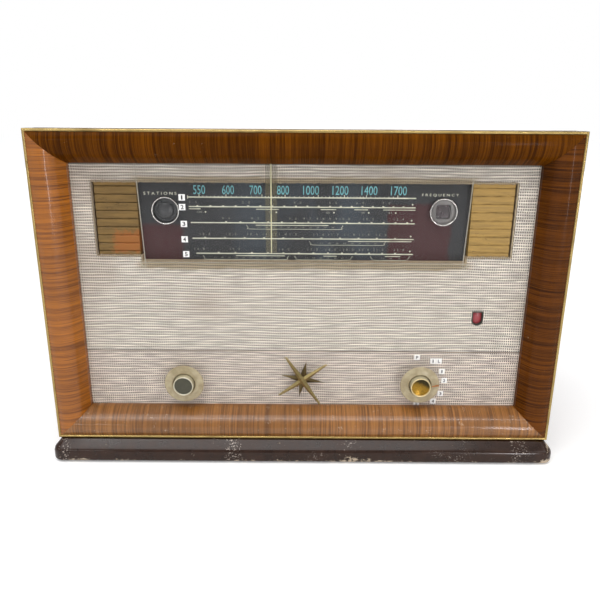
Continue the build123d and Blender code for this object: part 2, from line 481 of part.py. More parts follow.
def chassis():
    wall = 1.2
    x0, x1, low = -205.0, 205.0, BOARD_INSET + BOARD
    pan = block((x0, x1), (CHASSIS_D, CHASSIS_BACK), (low, CHASSIS_TOP))
    pan -= block((x0 + wall, x1 - wall), (CHASSIS_D + wall, CHASSIS_BACK - wall), (low - 1, CHASSIS_TOP - wall))
    pan -= rod(LEFT_KNOB_X, KNOB_H, SLEEVE_R + GAP, CHASSIS_D - 1, CHASSIS_D + 2)
    for x in (RIGHT_KNOB_X, BAND_SHAFT_X):
        pan -= rod(x, KNOB_H, SHAFT_R + 0.1, CHASSIS_D - 1, CHASSIS_D + 2)
    save("chassis", pan)
    top = CHASSIS_TOP
    core = block((-196, -120), (138, 200), (top, top + 62))
    winding = block((-184, -132), (126, 138), (top + 12, top + 50))
    small = block((-100, -56), (176, 206), (top, top + 38))
    save("transformers", core + winding, small)
    bulb = [(0, 0), (13, 0), (13, 14), (14.5, 16), (14.5, 62), (11, 70), (4, 74), (0, 74)]
    glass = Rot(X=90) * revolve(make_face(Polyline(*bulb, close=True)), axis=Axis.Y)
    places = ((-96, 150), (-36, 186), (-10, 146), (30, 178), (170, 170))
    save("valves", *[Pos(x, FRONT_Y + d, BASE_Z + top) * glass for x, d in places])
    cans = [block((x, x + 30), (150, 180), (top, top + 66)) for x in (62, 112)]
    cylinder = Pos(-170, FRONT_Y + 108, BASE_Z + top + 36) * Cylinder(16, 72)
    save("chassis_cans", *cans, cylinder)


def rear():
    sockets = [(100.0 + 13.0 * k, 40.0) for k in (-1.5, -0.5, 0.5, 1.5)]
    panel = block((70, 130), (CHASSIS_BACK, CHASSIS_BACK + 2), (28, 52))
    save("socket_panel", panel)
    save("rear_sockets", *[tube(x, h, 4.5, 2.1, CHASSIS_BACK + 2, CABINET_BACK + 1) for x, h in sockets])
    back = half_width(CABINET_BACK) - 2.0
    outline = rectangle((-back, back), (3.5, FRAME_H - 3.5))
    outline -= rectangle((74, 126), (27, 53))
    outline -= Pos(-150, 40) * Circle(8.0)
    for row, height in enumerate((96.0, 140.0, 262.0, 292.0)):
        tall = 30.0 if row < 2 else 20.0
        for k in range(21):
            x = -200 + 20 * k
            outline -= Pos(x, height) * SlotOverall(tall, 6.0, rotation=90)
    holes = [(sx * (half_width(CABINET_BACK) - BOARD / 2), h) for sx in (-1, 1) for h in (30.0, 165.0, 300.0)]
    holes += [(x, FRAME_H - BOARD_INSET - BOARD / 2) for x in (-120.0, 120.0)]
    for x, h in holes:
        outline -= Pos(x, h) * Circle(1.75)
    save("back_cover", slab(outline, CABINET_BACK, CABINET_BACK + COVER_T))
    out = CABINET_BACK + COVER_T
    head = [(0, CABINET_BACK), (1.7, CABINET_BACK), (1.7, out), (3.6, out), (3.3, out + 1.4),
            (2.0, out + SCREW_HEAD_H), (0, out + SCREW_HEAD_H)]
    save("back_screws", *[turned(head, x, h) for x, h in holes])
    grommet = [(3.9, CABINET_BACK - 3), (10.5, CABINET_BACK - 3), (10.5, CABINET_BACK), (8.0, CABINET_BACK),
               (8.0, out), (10.5, out), (9.5, out + 1.8), (3.9, out + 1.8)]
    save("mains_grommet", turned(grommet, -150, 40))


front_frame()
cabinet()
plinth()
baffle_and_cloth()
dial()
lamps()
emblem()
controls()
dial_drive()
speaker()
chassis()
rear()
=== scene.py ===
"""Looks of the table-top valve radio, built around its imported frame.

Sizes inside the sub-assemblies are millimetres in the set's own axes: x from the middle, depth behind the
face of the front frame, height above the frame's underside. Datum turns them into the row frame's metres."""

import logging
import math
from dataclasses import dataclass, field
from enum import Enum
from typing import Callable, Iterable, Optional, Sequence

import bmesh
import bpy
import numpy as np
from mathutils import Matrix, Vector

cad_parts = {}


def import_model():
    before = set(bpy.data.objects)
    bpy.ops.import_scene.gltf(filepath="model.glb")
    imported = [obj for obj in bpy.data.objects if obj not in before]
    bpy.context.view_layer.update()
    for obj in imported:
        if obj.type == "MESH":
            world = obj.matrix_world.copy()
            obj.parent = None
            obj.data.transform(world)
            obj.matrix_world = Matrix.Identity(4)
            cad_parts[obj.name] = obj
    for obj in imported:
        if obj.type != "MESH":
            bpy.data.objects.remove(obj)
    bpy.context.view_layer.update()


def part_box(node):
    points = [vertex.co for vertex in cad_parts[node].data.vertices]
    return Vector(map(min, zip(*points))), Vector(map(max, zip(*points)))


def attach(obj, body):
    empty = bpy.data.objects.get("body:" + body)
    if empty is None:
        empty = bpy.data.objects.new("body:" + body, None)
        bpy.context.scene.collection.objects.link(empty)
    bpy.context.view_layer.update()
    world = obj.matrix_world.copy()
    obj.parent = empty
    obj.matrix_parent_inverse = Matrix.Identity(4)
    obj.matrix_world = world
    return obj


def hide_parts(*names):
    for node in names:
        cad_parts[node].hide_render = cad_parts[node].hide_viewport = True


LOG = logging.getLogger("radio")
Array = np.ndarray
Colour = tuple[float, float, float]
Socket = bpy.types.NodeSocket
MM = 0.001


# ---- surfaces ----
@dataclass
class Surface:
    """Points in millimetres (x, depth, height) and the faces between them."""

    points: Array
    loops: Array
    counts: Array
    uv: Optional[Array] = None
    slots: Optional[Array] = None

    @staticmethod
    def of(points: Array, *groups: Array, uv: Optional[Array] = None) -> "Surface":
        """Surface from groups of faces with the same number of corners.

        Args:
            points: (n, 3) array of x, depth, height.
            groups: (m, k) arrays of corner numbers.
            uv: optional (n, 2) array, one pair a point.

        Returns:
            The surface, with every face in slot 0.
        """
        loops = np.concatenate([g.reshape(-1) for g in groups])
        counts = np.concatenate([np.full(len(g), g.shape[1]) for g in groups])
        return Surface(np.asarray(points, float), loops, counts, uv, np.zeros(len(counts), int))

    @staticmethod
    def join(parts: Iterable["Surface"]) -> "Surface":
        """One surface from several, each keeping its own points."""
        parts = list(parts)
        starts = np.cumsum([0] + [len(p.points) for p in parts])
        uv = None if parts[0].uv is None else np.vstack([p.uv for p in parts])
        return Surface(np.vstack([p.points for p in parts]),
                       np.concatenate([p.loops + s for p, s in zip(parts, starts)]),
                       np.concatenate([p.counts for p in parts]), uv,
                       np.concatenate([p.slots for p in parts]))

    def in_slot(self, slot: int) -> "Surface":
        """The same surface with all its faces in one material slot."""
        self.slots = np.full(len(self.counts), slot)
        return self


@dataclass(frozen=True)
class Datum:
    """Where the set's own axes lie in the row frame, both in metres."""

    front: float
    base: float

    @staticmethod
    def from_frame() -> "Datum":
        """Reads the front plane and the underside of the front frame from the brass trim's CAD box."""
        low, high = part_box("brass_edge_trim")
        return Datum(front=low[1] + 0.9 * MM, base=low[2] + 0.5 * MM)

    def place(self, points: Array) -> Array:
        """Row-frame metres of set millimetres: x scaled, depth added to the front, height to the base."""
        return np.asarray(points) * MM + np.array([0.0, self.front, self.base])


def grid_quads(rows: int, cols: int, close_rows: bool = False, close_cols: bool = False) -> Array:
    """Faces of a grid of rows x cols points.

    Args:
        rows: points along the first parameter.
        cols: points along the second parameter.
        close_rows: join the last row to the first.
        close_cols: join the last column to the first.

    Returns:
        (m, 4) corner numbers.
    """
    i = np.arange(rows if close_rows else rows - 1)[:, None]
    j = np.arange(cols if close_cols else cols - 1)[None, :]
    down, right = (i + 1) % rows, (j + 1) % cols
    corners = (i * cols + j, down * cols + j, down * cols + right, i * cols + right)
    return np.stack([c + 0 * (i + j) for c in corners], axis=-1).reshape(-1, 4)


def smooth_curve(points: Sequence[Sequence[float]], per_span: int = 8) -> Array:
    """Catmull-Rom curve: on each span a cubic that leaves p1 along p2 - p0 and meets p2 along p3 - p1.

    Args:
        points: the points it runs through.
        per_span: samples on each span.

    Returns:
        Sampled points, the last one included.
    """
    p = np.asarray(points, float)
    ext = np.vstack([2 * p[0] - p[1], p, 2 * p[-1] - p[-2]])
    t = np.linspace(0.0, 1.0, per_span, endpoint=False)[None, :, None]
    p0, p1, p2, p3 = (ext[k:len(ext) - 3 + k][:, None, :] for k in range(4))
    body = 0.5 * (2 * p1 + (p2 - p0) * t + (2 * p0 - 5 * p1 + 4 * p2 - p3) * t ** 2
                  + (3 * p1 - p0 - 3 * p2 + p3) * t ** 3)
    return np.vstack([body.reshape(-1, p.shape[1]), p[-1:]])


def turned(profile: Array, x: float, h: float, count: int = 96, closed: bool = False) -> Surface:
    """Surface of revolution about a front-to-back axis: (r, d) goes to (x + r sin a, d, h + r cos a).

    Args:
        profile: (n, 2) radii and depths.
        x: axis position across.
        h: axis height.
        count: points round the axis.
        closed: join the profile's end to its start.

    Returns:
        The surface; a profile that starts or ends on the axis is closed there by welding.
    """
    profile = np.asarray(profile, float)
    angle = np.linspace(0.0, 2 * math.pi, count, endpoint=False)[None, :]
    r, d = profile[:, 0][:, None], profile[:, 1][:, None]
    points = np.stack([x + r * np.sin(angle), d + 0 * angle, h + r * np.cos(angle)], axis=-1)
    uv = np.stack([angle / (2 * math.pi) + 0 * r, r + 0 * angle], axis=-1).reshape(-1, 2)
    return Surface.of(points.reshape(-1, 3), grid_quads(len(profile), count, closed, True), uv=uv)


def bars(edges: Array, d0: float, d1: float) -> Surface:
    """Upright boxes: one for each row of (x0, x1, h0, h1), between two depths.

    Args:
        edges: (n, 4) array.
        d0: front depth.
        d1: back depth.

    Returns:
        All the boxes as one surface.
    """
    e = np.atleast_2d(np.asarray(edges, float))
    pick = np.array([[i, j, k] for i in (0, 1) for j in (0, 1) for k in (0, 1)])
    depth = np.array([d0, d1])
    points = np.stack([e[:, pick[:, 0]], np.broadcast_to(depth[pick[:, 1]], (len(e), 8)),
                       e[:, 2 + pick[:, 2]]],
                      axis=-1)
    box = np.array([[0, 4, 5, 1], [2, 3, 7, 6], [0, 1, 3, 2], [4, 6, 7, 5], [0, 2, 6, 4], [1, 5, 7, 3]])
    faces = (box[None] + 8 * np.arange(len(e))[:, None, None]).reshape(-1, 4)
    return Surface.of(points.reshape(-1, 3), faces)


def ribbon(path: Array, width: float, d0: float, d1: float) -> Surface:
    """Flat band along an open path in x and height: offset half its width along the path's normal, two
    depths deep.

    Args:
        path: (n, 2) points.
        width: band width.
        d0: front depth.
        d1: back depth.

    Returns:
        A closed strip.
    """
    path = np.asarray(path, float)
    along = np.gradient(path, axis=0)
    along /= np.linalg.norm(along, axis=1, keepdims=True)
    side = np.stack([-along[:, 1], along[:, 0]], axis=1) * width / 2
    rows = [(path + side, d0), (path - side, d0), (path - side, d1), (path + side, d1)]
    points = np.stack([np.stack([p[:, 0], np.full(len(p), d), p[:, 1]], axis=1) for p, d in rows])
    n = len(path)
    ends = np.array([[k * n for k in range(4)], [k * n + n - 1 for k in range(4)]])
    return Surface.of(points.reshape(-1, 3), grid_quads(4, n, True, False), ends)


def discs(centres: Sequence[Sequence[float]], radius: float, d0: float, d1: float,
          count: int = 14) -> Surface:
    """Small flat discs: each centre plus radius times (sin a, cos a), between two depths.

    Args:
        centres: (x, height) pairs
        radius: of each disc
        d0: front depth
        d1: rear depth
        count: corners of each

    Returns:
        The discs.
    """
    c = np.asarray(centres, float)
    angle = np.linspace(0.0, 2 * math.pi, count, endpoint=False)
    ring = radius * np.stack([np.sin(angle), np.cos(angle)], axis=1)
    flat = c[:, None, :] + ring[None]
    layers = [np.stack([flat[..., 0], np.full(flat.shape[:2], d), flat[..., 1]], axis=-1) for d in (d0, d1)]
    points = np.stack(layers, axis=1).reshape(-1, 3)
    base = 2 * count * np.arange(len(c))[:, None]
    caps = np.vstack([base + np.arange(count)[None], base + count + np.arange(count)[None, ::-1]])
    k = np.arange(count)
    walls = np.stack([k, k + count, (k + 1) % count + count, (k + 1) % count], axis=1)
    walls = (walls[None] + base[:, :, None]).reshape(-1, 4)
    return Surface.of(points, caps, walls)


def lettering(text: str, x: float, h: float, height: float, width: float, depth: float,
              thick: float = 0.12, bold: float = 0.0) -> Surface:
    """Figures or letters as thin raised shapes, stretched to fill a width and height about their centre.

    Args:
        text: what is written.
        x: centre across.
        h: centre height.
        height: full height of the figures.
        width: full width of the line.
        depth: depth of the figures' front faces.
        thick: how far they go back.
        bold: how far the outlines are widened, in ems.

    Returns:
        The surface of all the glyphs.
    """
    data = bpy.data.curves.new("lettering", "FONT")
    data.body, data.extrude, data.resolution_u, data.offset = text, 0.5, 3, bold
    probe = bpy.data.objects.new("lettering", data)
    mesh = bpy.data.meshes.new_from_object(probe)
    flat = np.empty(len(mesh.vertices) * 3)
    mesh.vertices.foreach_get("co", flat)
    loops = np.empty(len(mesh.loops), int)
    mesh.loops.foreach_get("vertex_index", loops)
    counts = np.empty(len(mesh.polygons), int)
    mesh.polygons.foreach_get("loop_total", counts)
    co = flat.reshape(-1, 3)
    low, high = co.min(axis=0), co.max(axis=0)
    unit = (co - (low + high) / 2) / np.maximum(high - low, 1e-9)
    points = np.stack([x + unit[:, 0] * width, depth + (0.5 - unit[:, 2]) * thick, h + unit[:, 1] * height],
                      axis=1)
    bpy.data.objects.remove(probe)
    bpy.data.curves.remove(data)
    bpy.data.meshes.remove(mesh)
    return Surface(points, loops, counts, None, np.zeros(len(counts), int))


# ---- shader graphs ----
class Graph:
    """Adds nodes and links to one node tree; values may be sockets or plain numbers."""

    def __init__(self, tree: bpy.types.NodeTree) -> None:
        """Keeps the tree that the nodes go into."""
        self.tree = tree

    def node(self, kind: str, **settings: object) -> bpy.types.Node:
        """A new node of a kind, with its properties set."""
        made = self.tree.nodes.new("ShaderNode" + kind)
        for key, value in settings.items():
            setattr(made, key, value)
        return made

    def feed(self, target: Socket, value: object) -> None:
        """Links a socket into another, or sets its value."""
        if isinstance(value, bpy.types.NodeSocket):
            self.tree.links.new(value, target)
        elif isinstance(value, tuple) and target.type == "RGBA":
            target.default_value = (*value, 1.0)[:4]
        else:
            target.default_value = value

    def math(self, op: str, a: object, b: object = 0.0, clamp: bool = False) -> Socket:
        """Math node of an operation on one or two values.

        Args:
            op: its name
            a: first value or socket
            b: second
            clamp: keep the result within 0 and 1

        Returns:
            The result.
        """
        made = self.node("Math", operation=op, use_clamp=clamp)
        self.feed(made.inputs[0], a)
        self.feed(made.inputs[1], b)
        return made.outputs[0]

    def plus(self, a: object, b: object, clamp: bool = False) -> Socket:
        """a + b."""
        return self.math("ADD", a, b, clamp)

    def minus(self, a: object, b: object, clamp: bool = False) -> Socket:
        """a - b."""
        return self.math("SUBTRACT", a, b, clamp)

    def times(self, a: object, b: object, clamp: bool = False) -> Socket:
        """a b."""
        return self.math("MULTIPLY", a, b, clamp)

    def apart(self, a: object, b: object) -> Socket:
        """The distance |a - b|."""
        return self.math("ABSOLUTE", self.math("SUBTRACT", a, b))

    def vector(self, op: str, a: object, b: object) -> Socket:
        """Vector Math node of an operation on two vectors.

        Args:
            op: its name
            a: first vector
            b: second

        Returns:
            The result.
        """
        made = self.node("VectorMath", operation=op)
        self.feed(made.inputs[0], a)
        self.feed(made.inputs[1], b)
        return made.outputs[0]

    def mix(self, share: object, a: object, b: object) -> Socket:
        """Colour between a and b by a share.

        Args:
            share: 0 for a, 1 for b
            a: first colour
            b: second

        Returns:
            The colour.
        """
        made = self.node("Mix", data_type="RGBA")
        self.feed(made.inputs[0], share)
        self.feed(made.inputs[6], a)
        self.feed(made.inputs[7], b)
        return made.outputs[2]

    def band(self, value: object, low: float, high: float, to: tuple[float, float] = (0.0, 1.0)) -> Socket:
        """Smooth step of a value from low to high, onto another range.

        Args:
            value: what is stepped
            low: where the step starts
            high: where it ends
            to: values before and after it

        Returns:
            The stepped value.
        """
        made = self.node("MapRange", interpolation_type="SMOOTHSTEP")
        for socket, number in zip(made.inputs, (value, low, high, *to)):
            self.feed(socket, number)
        return made.outputs[0]

    def noise(self, vector: Socket, scale: float, detail: float = 3.0, rough: float = 0.55) -> Socket:
        """Noise value of a vector.

        Args:
            vector: the place
            scale: noise cells in a unit
            detail: octaves
            rough: share that each octave keeps

        Returns:
            The value.
        """
        made = self.node("TexNoise")
        self.feed(made.inputs["Vector"], vector)
        for name, number in (("Scale", scale), ("Detail", detail), ("Roughness", rough)):
            self.feed(made.inputs[name], number)
        return made.outputs[0]

    def coords(self, source: str = "Object", scale: Sequence[float] = (1.0, 1.0, 1.0)) -> Socket:
        """Object or UV coordinates, stretched by a scale for each axis."""
        plain = self.node("TexCoord").outputs[source]
        return self.vector("MULTIPLY", plain, tuple(scale))

    def axis(self, vector: Socket, name: str) -> Socket:
        """One axis of a vector."""
        made = self.node("SeparateXYZ")
        self.feed(made.inputs[0], vector)
        return made.outputs[name]

    def group(self, tree: bpy.types.NodeTree, **values: object) -> bpy.types.Node:
        """A shared group placed in this tree, with its inputs fed by name.

        Args:
            tree: the group
            values: what feeds each input

        Returns:
            The group node.
        """
        made = self.tree.nodes.new("ShaderNodeGroup")
        made.node_tree = tree
        for key, value in values.items():
            self.feed(made.inputs[key], value)
        return made

    def bump(self, height: Socket, distance: float, strength: float = 1.0) -> Socket:
        """Normal from a height, in metres at height 1.

        Args:
            height: height pattern
            distance: metres at height 1
            strength: share of the bump

        Returns:
            The normal.
        """
        made = self.node("Bump")
        self.feed(made.inputs["Height"], height)
        made.inputs["Distance"].default_value = distance
        made.inputs["Strength"].default_value = strength
        return made.outputs[0]


class Effect(Enum):
    """The effects that several finishes share, each one node group."""

    GRAIN = "grain"
    WEAR = "wear"
    WEAVE = "weave"


def shared_effect(effect: Effect) -> bpy.types.NodeTree:
    """The node group of an effect, built the first time it is asked for.

    Args:
        effect: which effect.

    Returns:
        The group's tree.
    """
    found = bpy.data.node_groups.get(effect.value)
    if found:
        return found
    tree = bpy.data.node_groups.new(effect.value, "ShaderNodeTree")
    builder = {Effect.GRAIN: build_grain, Effect.WEAR: build_wear, Effect.WEAVE: build_weave}[effect]
    builder(tree)
    return tree


def open_group(tree: bpy.types.NodeTree, inputs: dict[str, str],
               outputs: Sequence[str]) -> tuple[Graph, Callable, Callable]:
    """Gives a group its sockets.

    Args:
        tree: the group.
        inputs: socket names and their kinds, Vector or Float.
        outputs: names of its Float outputs.

    Returns:
        The graph, a getter of inputs by name and a setter of outputs by name.
    """
    for name, kind in inputs.items():
        tree.interface.new_socket(name, in_out="INPUT", socket_type="NodeSocket" + kind)
    for name in outputs:
        tree.interface.new_socket(name, in_out="OUTPUT", socket_type="NodeSocketFloat")
    graph = Graph(tree)
    source, sink = tree.nodes.new("NodeGroupInput"), tree.nodes.new("NodeGroupOutput")
    return (graph, lambda name: source.outputs[name],
            lambda name, value: graph.feed(sink.inputs[name], value))


def build_grain(tree: bpy.types.NodeTree) -> None:
    """Wood grain: broad figure plus fine streaks on a stretched vector, and dark pores where a finer noise
    peaks."""
    graph, take, give = open_group(tree, {"Vector": "Vector"}, ("Figure", "Pores"))
    broad = graph.noise(take("Vector"), 1.0, 2.0)
    streak = graph.noise(take("Vector"), 4.2, 4.0, 0.65)
    figure = graph.plus(graph.times(broad, 0.42), graph.times(streak, 0.58))
    give("Figure", graph.band(figure, 0.36, 0.62))
    give("Pores", graph.band(graph.noise(take("Vector"), 13.0, 3.0, 0.7), 0.56, 0.70))


def build_wear(tree: bpy.types.NodeTree) -> None:
    """Wear: patches where a coarse noise times a fine one passes a level set by Amount."""
    graph, take, give = open_group(tree, {"Vector": "Vector", "Amount": "Float"}, ("Mask", "Dust"))
    coarse = graph.noise(take("Vector"), 1.0, 2.0)
    fine = graph.noise(take("Vector"), 7.0, 5.0, 0.7)
    both = graph.plus(graph.times(coarse, 0.45), graph.times(fine, 0.55))
    level = graph.minus(1.0, take("Amount"))
    give("Mask", graph.times(graph.minus(both, level), 22.0, clamp=True))
    give("Dust", graph.band(coarse, 0.35, 0.75))


def build_weave(tree: bpy.types.NodeTree) -> None:
    """Ribbed cloth: v counts ribs and u counts warp threads; gaps are dark dots between ribs, and slubs vary
    ribs."""
    graph, take, give = open_group(tree, {"Vector": "Vector"}, ("Gap", "Slub", "Height"))
    u, v = graph.axis(take("Vector"), "X"), graph.axis(take("Vector"), "Y")
    rib = graph.math("ABSOLUTE", graph.math("SINE", graph.times(v, math.pi)))
    row = graph.times(graph.math("SINE", graph.times(graph.math("ROUND", v), 1.7)), 0.13)
    warp = graph.math("SINE", graph.times(graph.plus(u, row), 2 * math.pi))
    valley = graph.band(rib, 0.98, 0.50)
    dots = graph.band(warp, -0.30, 0.25, (0.03, 1.0))
    give("Gap", graph.times(valley, dots))
    stretched = graph.vector("MULTIPLY", take("Vector"), (0.12, 1.0, 1.0))
    give("Slub", graph.noise(stretched, 1.0, 3.0, 0.6))
    give("Height", graph.plus(rib, graph.times(warp, 0.25)))


# ---- finishes ----
@dataclass(frozen=True)
class Finish:
    """A surface finish; plain() sets its fixed numbers and paint() its patterns."""

    name: str
    colour: Colour = (0.5, 0.5, 0.5)
    rough: float = 0.5
    metal: float = 0.0
    coat: float = 0.0
    specular: float = 0.5
    mottle: float = 0.72

    def material(self) -> bpy.types.Material:
        """The finish's material, built the first time it is asked for."""
        found = bpy.data.materials.get(self.name)
        if found:
            return found
        made = bpy.data.materials.new(self.name)
        made.use_nodes = True
        shader = made.node_tree.nodes["Principled BSDF"]
        values = {"Base Color": (*self.colour, 1.0), "Roughness": self.rough, "Metallic": self.metal,
                  "Coat Weight": self.coat, "Coat Roughness": 0.12, "Specular IOR Level": self.specular}
        for key, value in values.items():
            shader.inputs[key].default_value = value
        self.paint(Graph(made.node_tree), shader)
        return made

    def paint(self, graph: Graph, shader: bpy.types.Node) -> None:
        """Faint mottling of colour and roughness; other finishes override it.

        Args:
            graph: the material's nodes
            shader: its Principled BSDF
        """
        mottle = graph.noise(graph.coords(), 90.0, 4.0, 0.6)
        darker = tuple(self.mottle * c for c in self.colour)
        graph.feed(shader.inputs["Base Color"],
                   graph.mix(graph.band(mottle, 0.35, 0.68), darker, self.colour))
        graph.feed(shader.inputs["Roughness"],
                   graph.band(mottle, 0.3, 0.7, (self.rough * 0.8, self.rough * 1.15)))


@dataclass(frozen=True)
class StudioFloor(Finish):
    """Pale floor that the camera sees a little brighter than the light on it, and other rays don't."""

    lift: float = 0.22

    def paint(self, graph: Graph, shader: bpy.types.Node) -> None:
        """The plain mottle, and a glow for camera rays only."""
        super().paint(graph, shader)
        ray = graph.node("LightPath")
        graph.feed(shader.inputs["Emission Color"], graph.mix(ray.outputs["Is Camera Ray"], (0.0, 0.0, 0.0),
                                                              (1.0, 1.0, 1.0)))
        shader.inputs["Emission Strength"].default_value = self.lift


@dataclass(frozen=True)
class Veneer(Finish):
    """Lacquered veneer whose grain runs along one axis."""

    dark: Colour = (0.05, 0.018, 0.007)
    scale: tuple[float, float, float] = (150.0, 14.0, 9.0)
    speck: float = 0.34
    nicked: Colour = (0.55, 0.42, 0.30)

    def paint(self, graph: Graph, shader: bpy.types.Node) -> None:
        """Figure between the dark and the light colour, dark pores, and small pale nicks in the lacquer."""
        place = graph.coords(scale=self.scale)
        grain = graph.group(shared_effect(Effect.GRAIN), Vector=place)
        broad = graph.noise(graph.coords(), 9.0, 2.0)
        light = graph.mix(graph.band(broad, 0.3, 0.7), self.colour,
                          tuple(min(1.0, 1.45 * c) for c in self.colour))
        wood = graph.mix(grain.outputs["Figure"], self.dark, light)
        wood = graph.mix(graph.times(grain.outputs["Pores"], 0.55), wood, tuple(0.6 * c for c in self.dark))
        nicks = graph.group(shared_effect(Effect.WEAR), Vector=graph.coords(scale=(95.0, 95.0, 95.0)),
                            Amount=self.speck)
        nick = graph.times(nicks.outputs["Mask"], 0.6)
        graph.feed(shader.inputs["Base Color"], graph.mix(nick, wood, self.nicked))
        rough = graph.plus(self.rough, graph.times(grain.outputs["Pores"], 0.18))
        graph.feed(shader.inputs["Roughness"], graph.plus(rough, graph.times(nick, 0.4)))
        height = graph.minus(graph.times(grain.outputs["Figure"], 0.4),
                             grain.outputs["Pores"])
        graph.feed(shader.inputs["Normal"], graph.bump(height, 0.00010))


@dataclass(frozen=True)
class ChippedPaint(Finish):
    """Dark gloss stain over wood, chipped along its edges and scratched."""

    under: Colour = (0.50, 0.40, 0.29)
    scuff: Colour = (0.50, 0.42, 0.36)
    edge_low: float = 0.004
    nicked: tuple[tuple[float, float], ...] = ((-0.076, 0.012), (-0.262, 0.008), (0.238, 0.012))
    chipped: tuple[tuple[float, float], ...] = ((0.066, 0.016), (0.150, 0.010), (0.262, 0.016))

    def paint(self, graph: Graph, shader: bpy.types.Node) -> None:
        """Chips along the foot, at the corners and at named places; clusters of nicks; thin scratches
        anywhere."""
        place = graph.coords()
        height = graph.axis(place, "Z")
        low = graph.band(height, self.edge_low + 0.003, self.edge_low, (0.0, 0.12))
        corner = graph.band(graph.axis(place, "X"), 0.250, 0.275, (0.0, 0.10))
        across = graph.axis(place, "X")
        for middle, reach in self.chipped:
            near = graph.band(graph.apart(across, middle), reach, 0.5 * reach)
            foot = graph.band(height, self.edge_low + 0.006, self.edge_low, (0.0, 0.16))
            low = graph.math("MAXIMUM", low, graph.times(near, foot))
        amount = graph.plus(graph.plus(low, corner), 0.365)
        chips = graph.group(shared_effect(Effect.WEAR), Vector=graph.coords(scale=(42.0, 42.0, 60.0)),
                            Amount=amount)
        lines = graph.noise(graph.coords(scale=(60.0, 60.0, 900.0)), 1.0, 4.0, 0.75)
        nicked = graph.noise(graph.coords(scale=(420.0, 420.0, 700.0)), 1.0, 3.0, 0.75)
        patch = graph.band(graph.noise(graph.coords(scale=(16.0, 16.0, 30.0)), 1.0, 1.0), 0.56, 0.72)
        for middle, reach in self.nicked:
            near = graph.band(graph.apart(across, middle), reach, 0.3 * reach)
            patch = graph.math("MAXIMUM", patch, graph.times(near, 1.6))
        lifted = graph.times(graph.plus(graph.times(patch, 0.035), 1.0), nicked)
        nick = graph.times(graph.band(lifted, 0.61, 0.66), graph.math("MINIMUM", patch, 1.0))
        scratch = graph.math("MAXIMUM", graph.times(graph.band(lines, 0.68, 0.75), 0.5), nick)
        mottle = graph.noise(place, 60.0, 5.0, 0.7)
        body = graph.mix(graph.band(mottle, 0.3, 0.7), tuple(0.55 * c for c in self.colour), self.colour)
        worn = graph.mix(scratch, body, self.scuff)
        graph.feed(shader.inputs["Base Color"], graph.mix(chips.outputs["Mask"], worn, self.under))
        rough = graph.band(mottle, 0.3, 0.75, (self.rough, self.rough + 0.22))
        graph.feed(shader.inputs["Roughness"], graph.plus(rough, graph.times(
                                                                                   chips.outputs["Mask"],
                                                                             0.5)))
        relief = graph.minus(graph.times(mottle, 0.35), chips.outputs["Mask"])
        graph.feed(shader.inputs["Normal"], graph.bump(relief, 0.0006))


@dataclass(frozen=True)
class AgedMetal(Finish):
    """Brass or steel, tarnished in patches, with fine scuffing."""

    # dark colour: tarnished patches here, painted shade in the dish subclass below
    tarnish_and_shade: Colour = (0.12, 0.08, 0.03)
    patches: float = 0.40

    def paint(self, graph: Graph, shader: bpy.types.Node) -> None:
        """Metal to its tarnished colour by the wear mask, rougher where it is tarnished."""
        wear = graph.group(shared_effect(Effect.WEAR), Vector=graph.coords(scale=(70.0, 70.0, 70.0)),
                           Amount=self.patches)
        broad = graph.noise(graph.coords(), 35.0, 3.0)
        share = graph.math("MAXIMUM", graph.times(wear.outputs["Mask"], 0.7),
                           graph.band(broad, 0.45, 0.85, (0.0, 0.8)))
        colour = graph.mix(share, self.colour, self.tarnish_and_shade)
        graph.feed(shader.inputs["Base Color"], colour)
        fine = graph.noise(graph.coords(scale=(60.0, 900.0, 900.0)), 1.0, 3.0, 0.7)
        rough = graph.plus(graph.band(fine, 0.3, 0.7, (self.rough * 0.7, self.rough * 1.2)),
                           graph.times(share, 0.25))
        graph.feed(shader.inputs["Roughness"], rough)
        graph.feed(shader.inputs["Normal"], graph.bump(fine, 0.00004))


@dataclass(frozen=True)
class DishBrassWithPaintedShade(AgedMetal):
    """Polished brass dish with painted shade: darker towards its upper edge, where the rim's shadow falls."""

    middle: float = 0.0
    axis_x: float = 0.1277
    lean: float = 0.45

    def paint(self, graph: Graph, shader: bpy.types.Node) -> None:
        """Brass below to painted shade above, along z and a little along x, broken up by noise."""
        place = graph.coords()
        across = graph.times(graph.axis(place, "X"), self.lean)
        cloud = graph.times(graph.noise(place, 160.0, 3.0), 0.010)
        level = graph.plus(graph.plus(graph.axis(place, "Z"), across), cloud)
        middle = self.middle + self.lean * self.axis_x + 0.005
        # painted shade: the upper part of the dish is mixed to the dark colour as the rim's shadow
        share = graph.band(level, middle - 0.003, middle + 0.006)
        graph.feed(shader.inputs["Base Color"], graph.mix(share, self.colour, self.tarnish_and_shade))
        fine = graph.noise(place, 500.0, 3.0, 0.7)
        graph.feed(shader.inputs["Roughness"],
                   graph.band(fine, 0.3, 0.7, (self.rough * 0.8, self.rough * 1.3)))


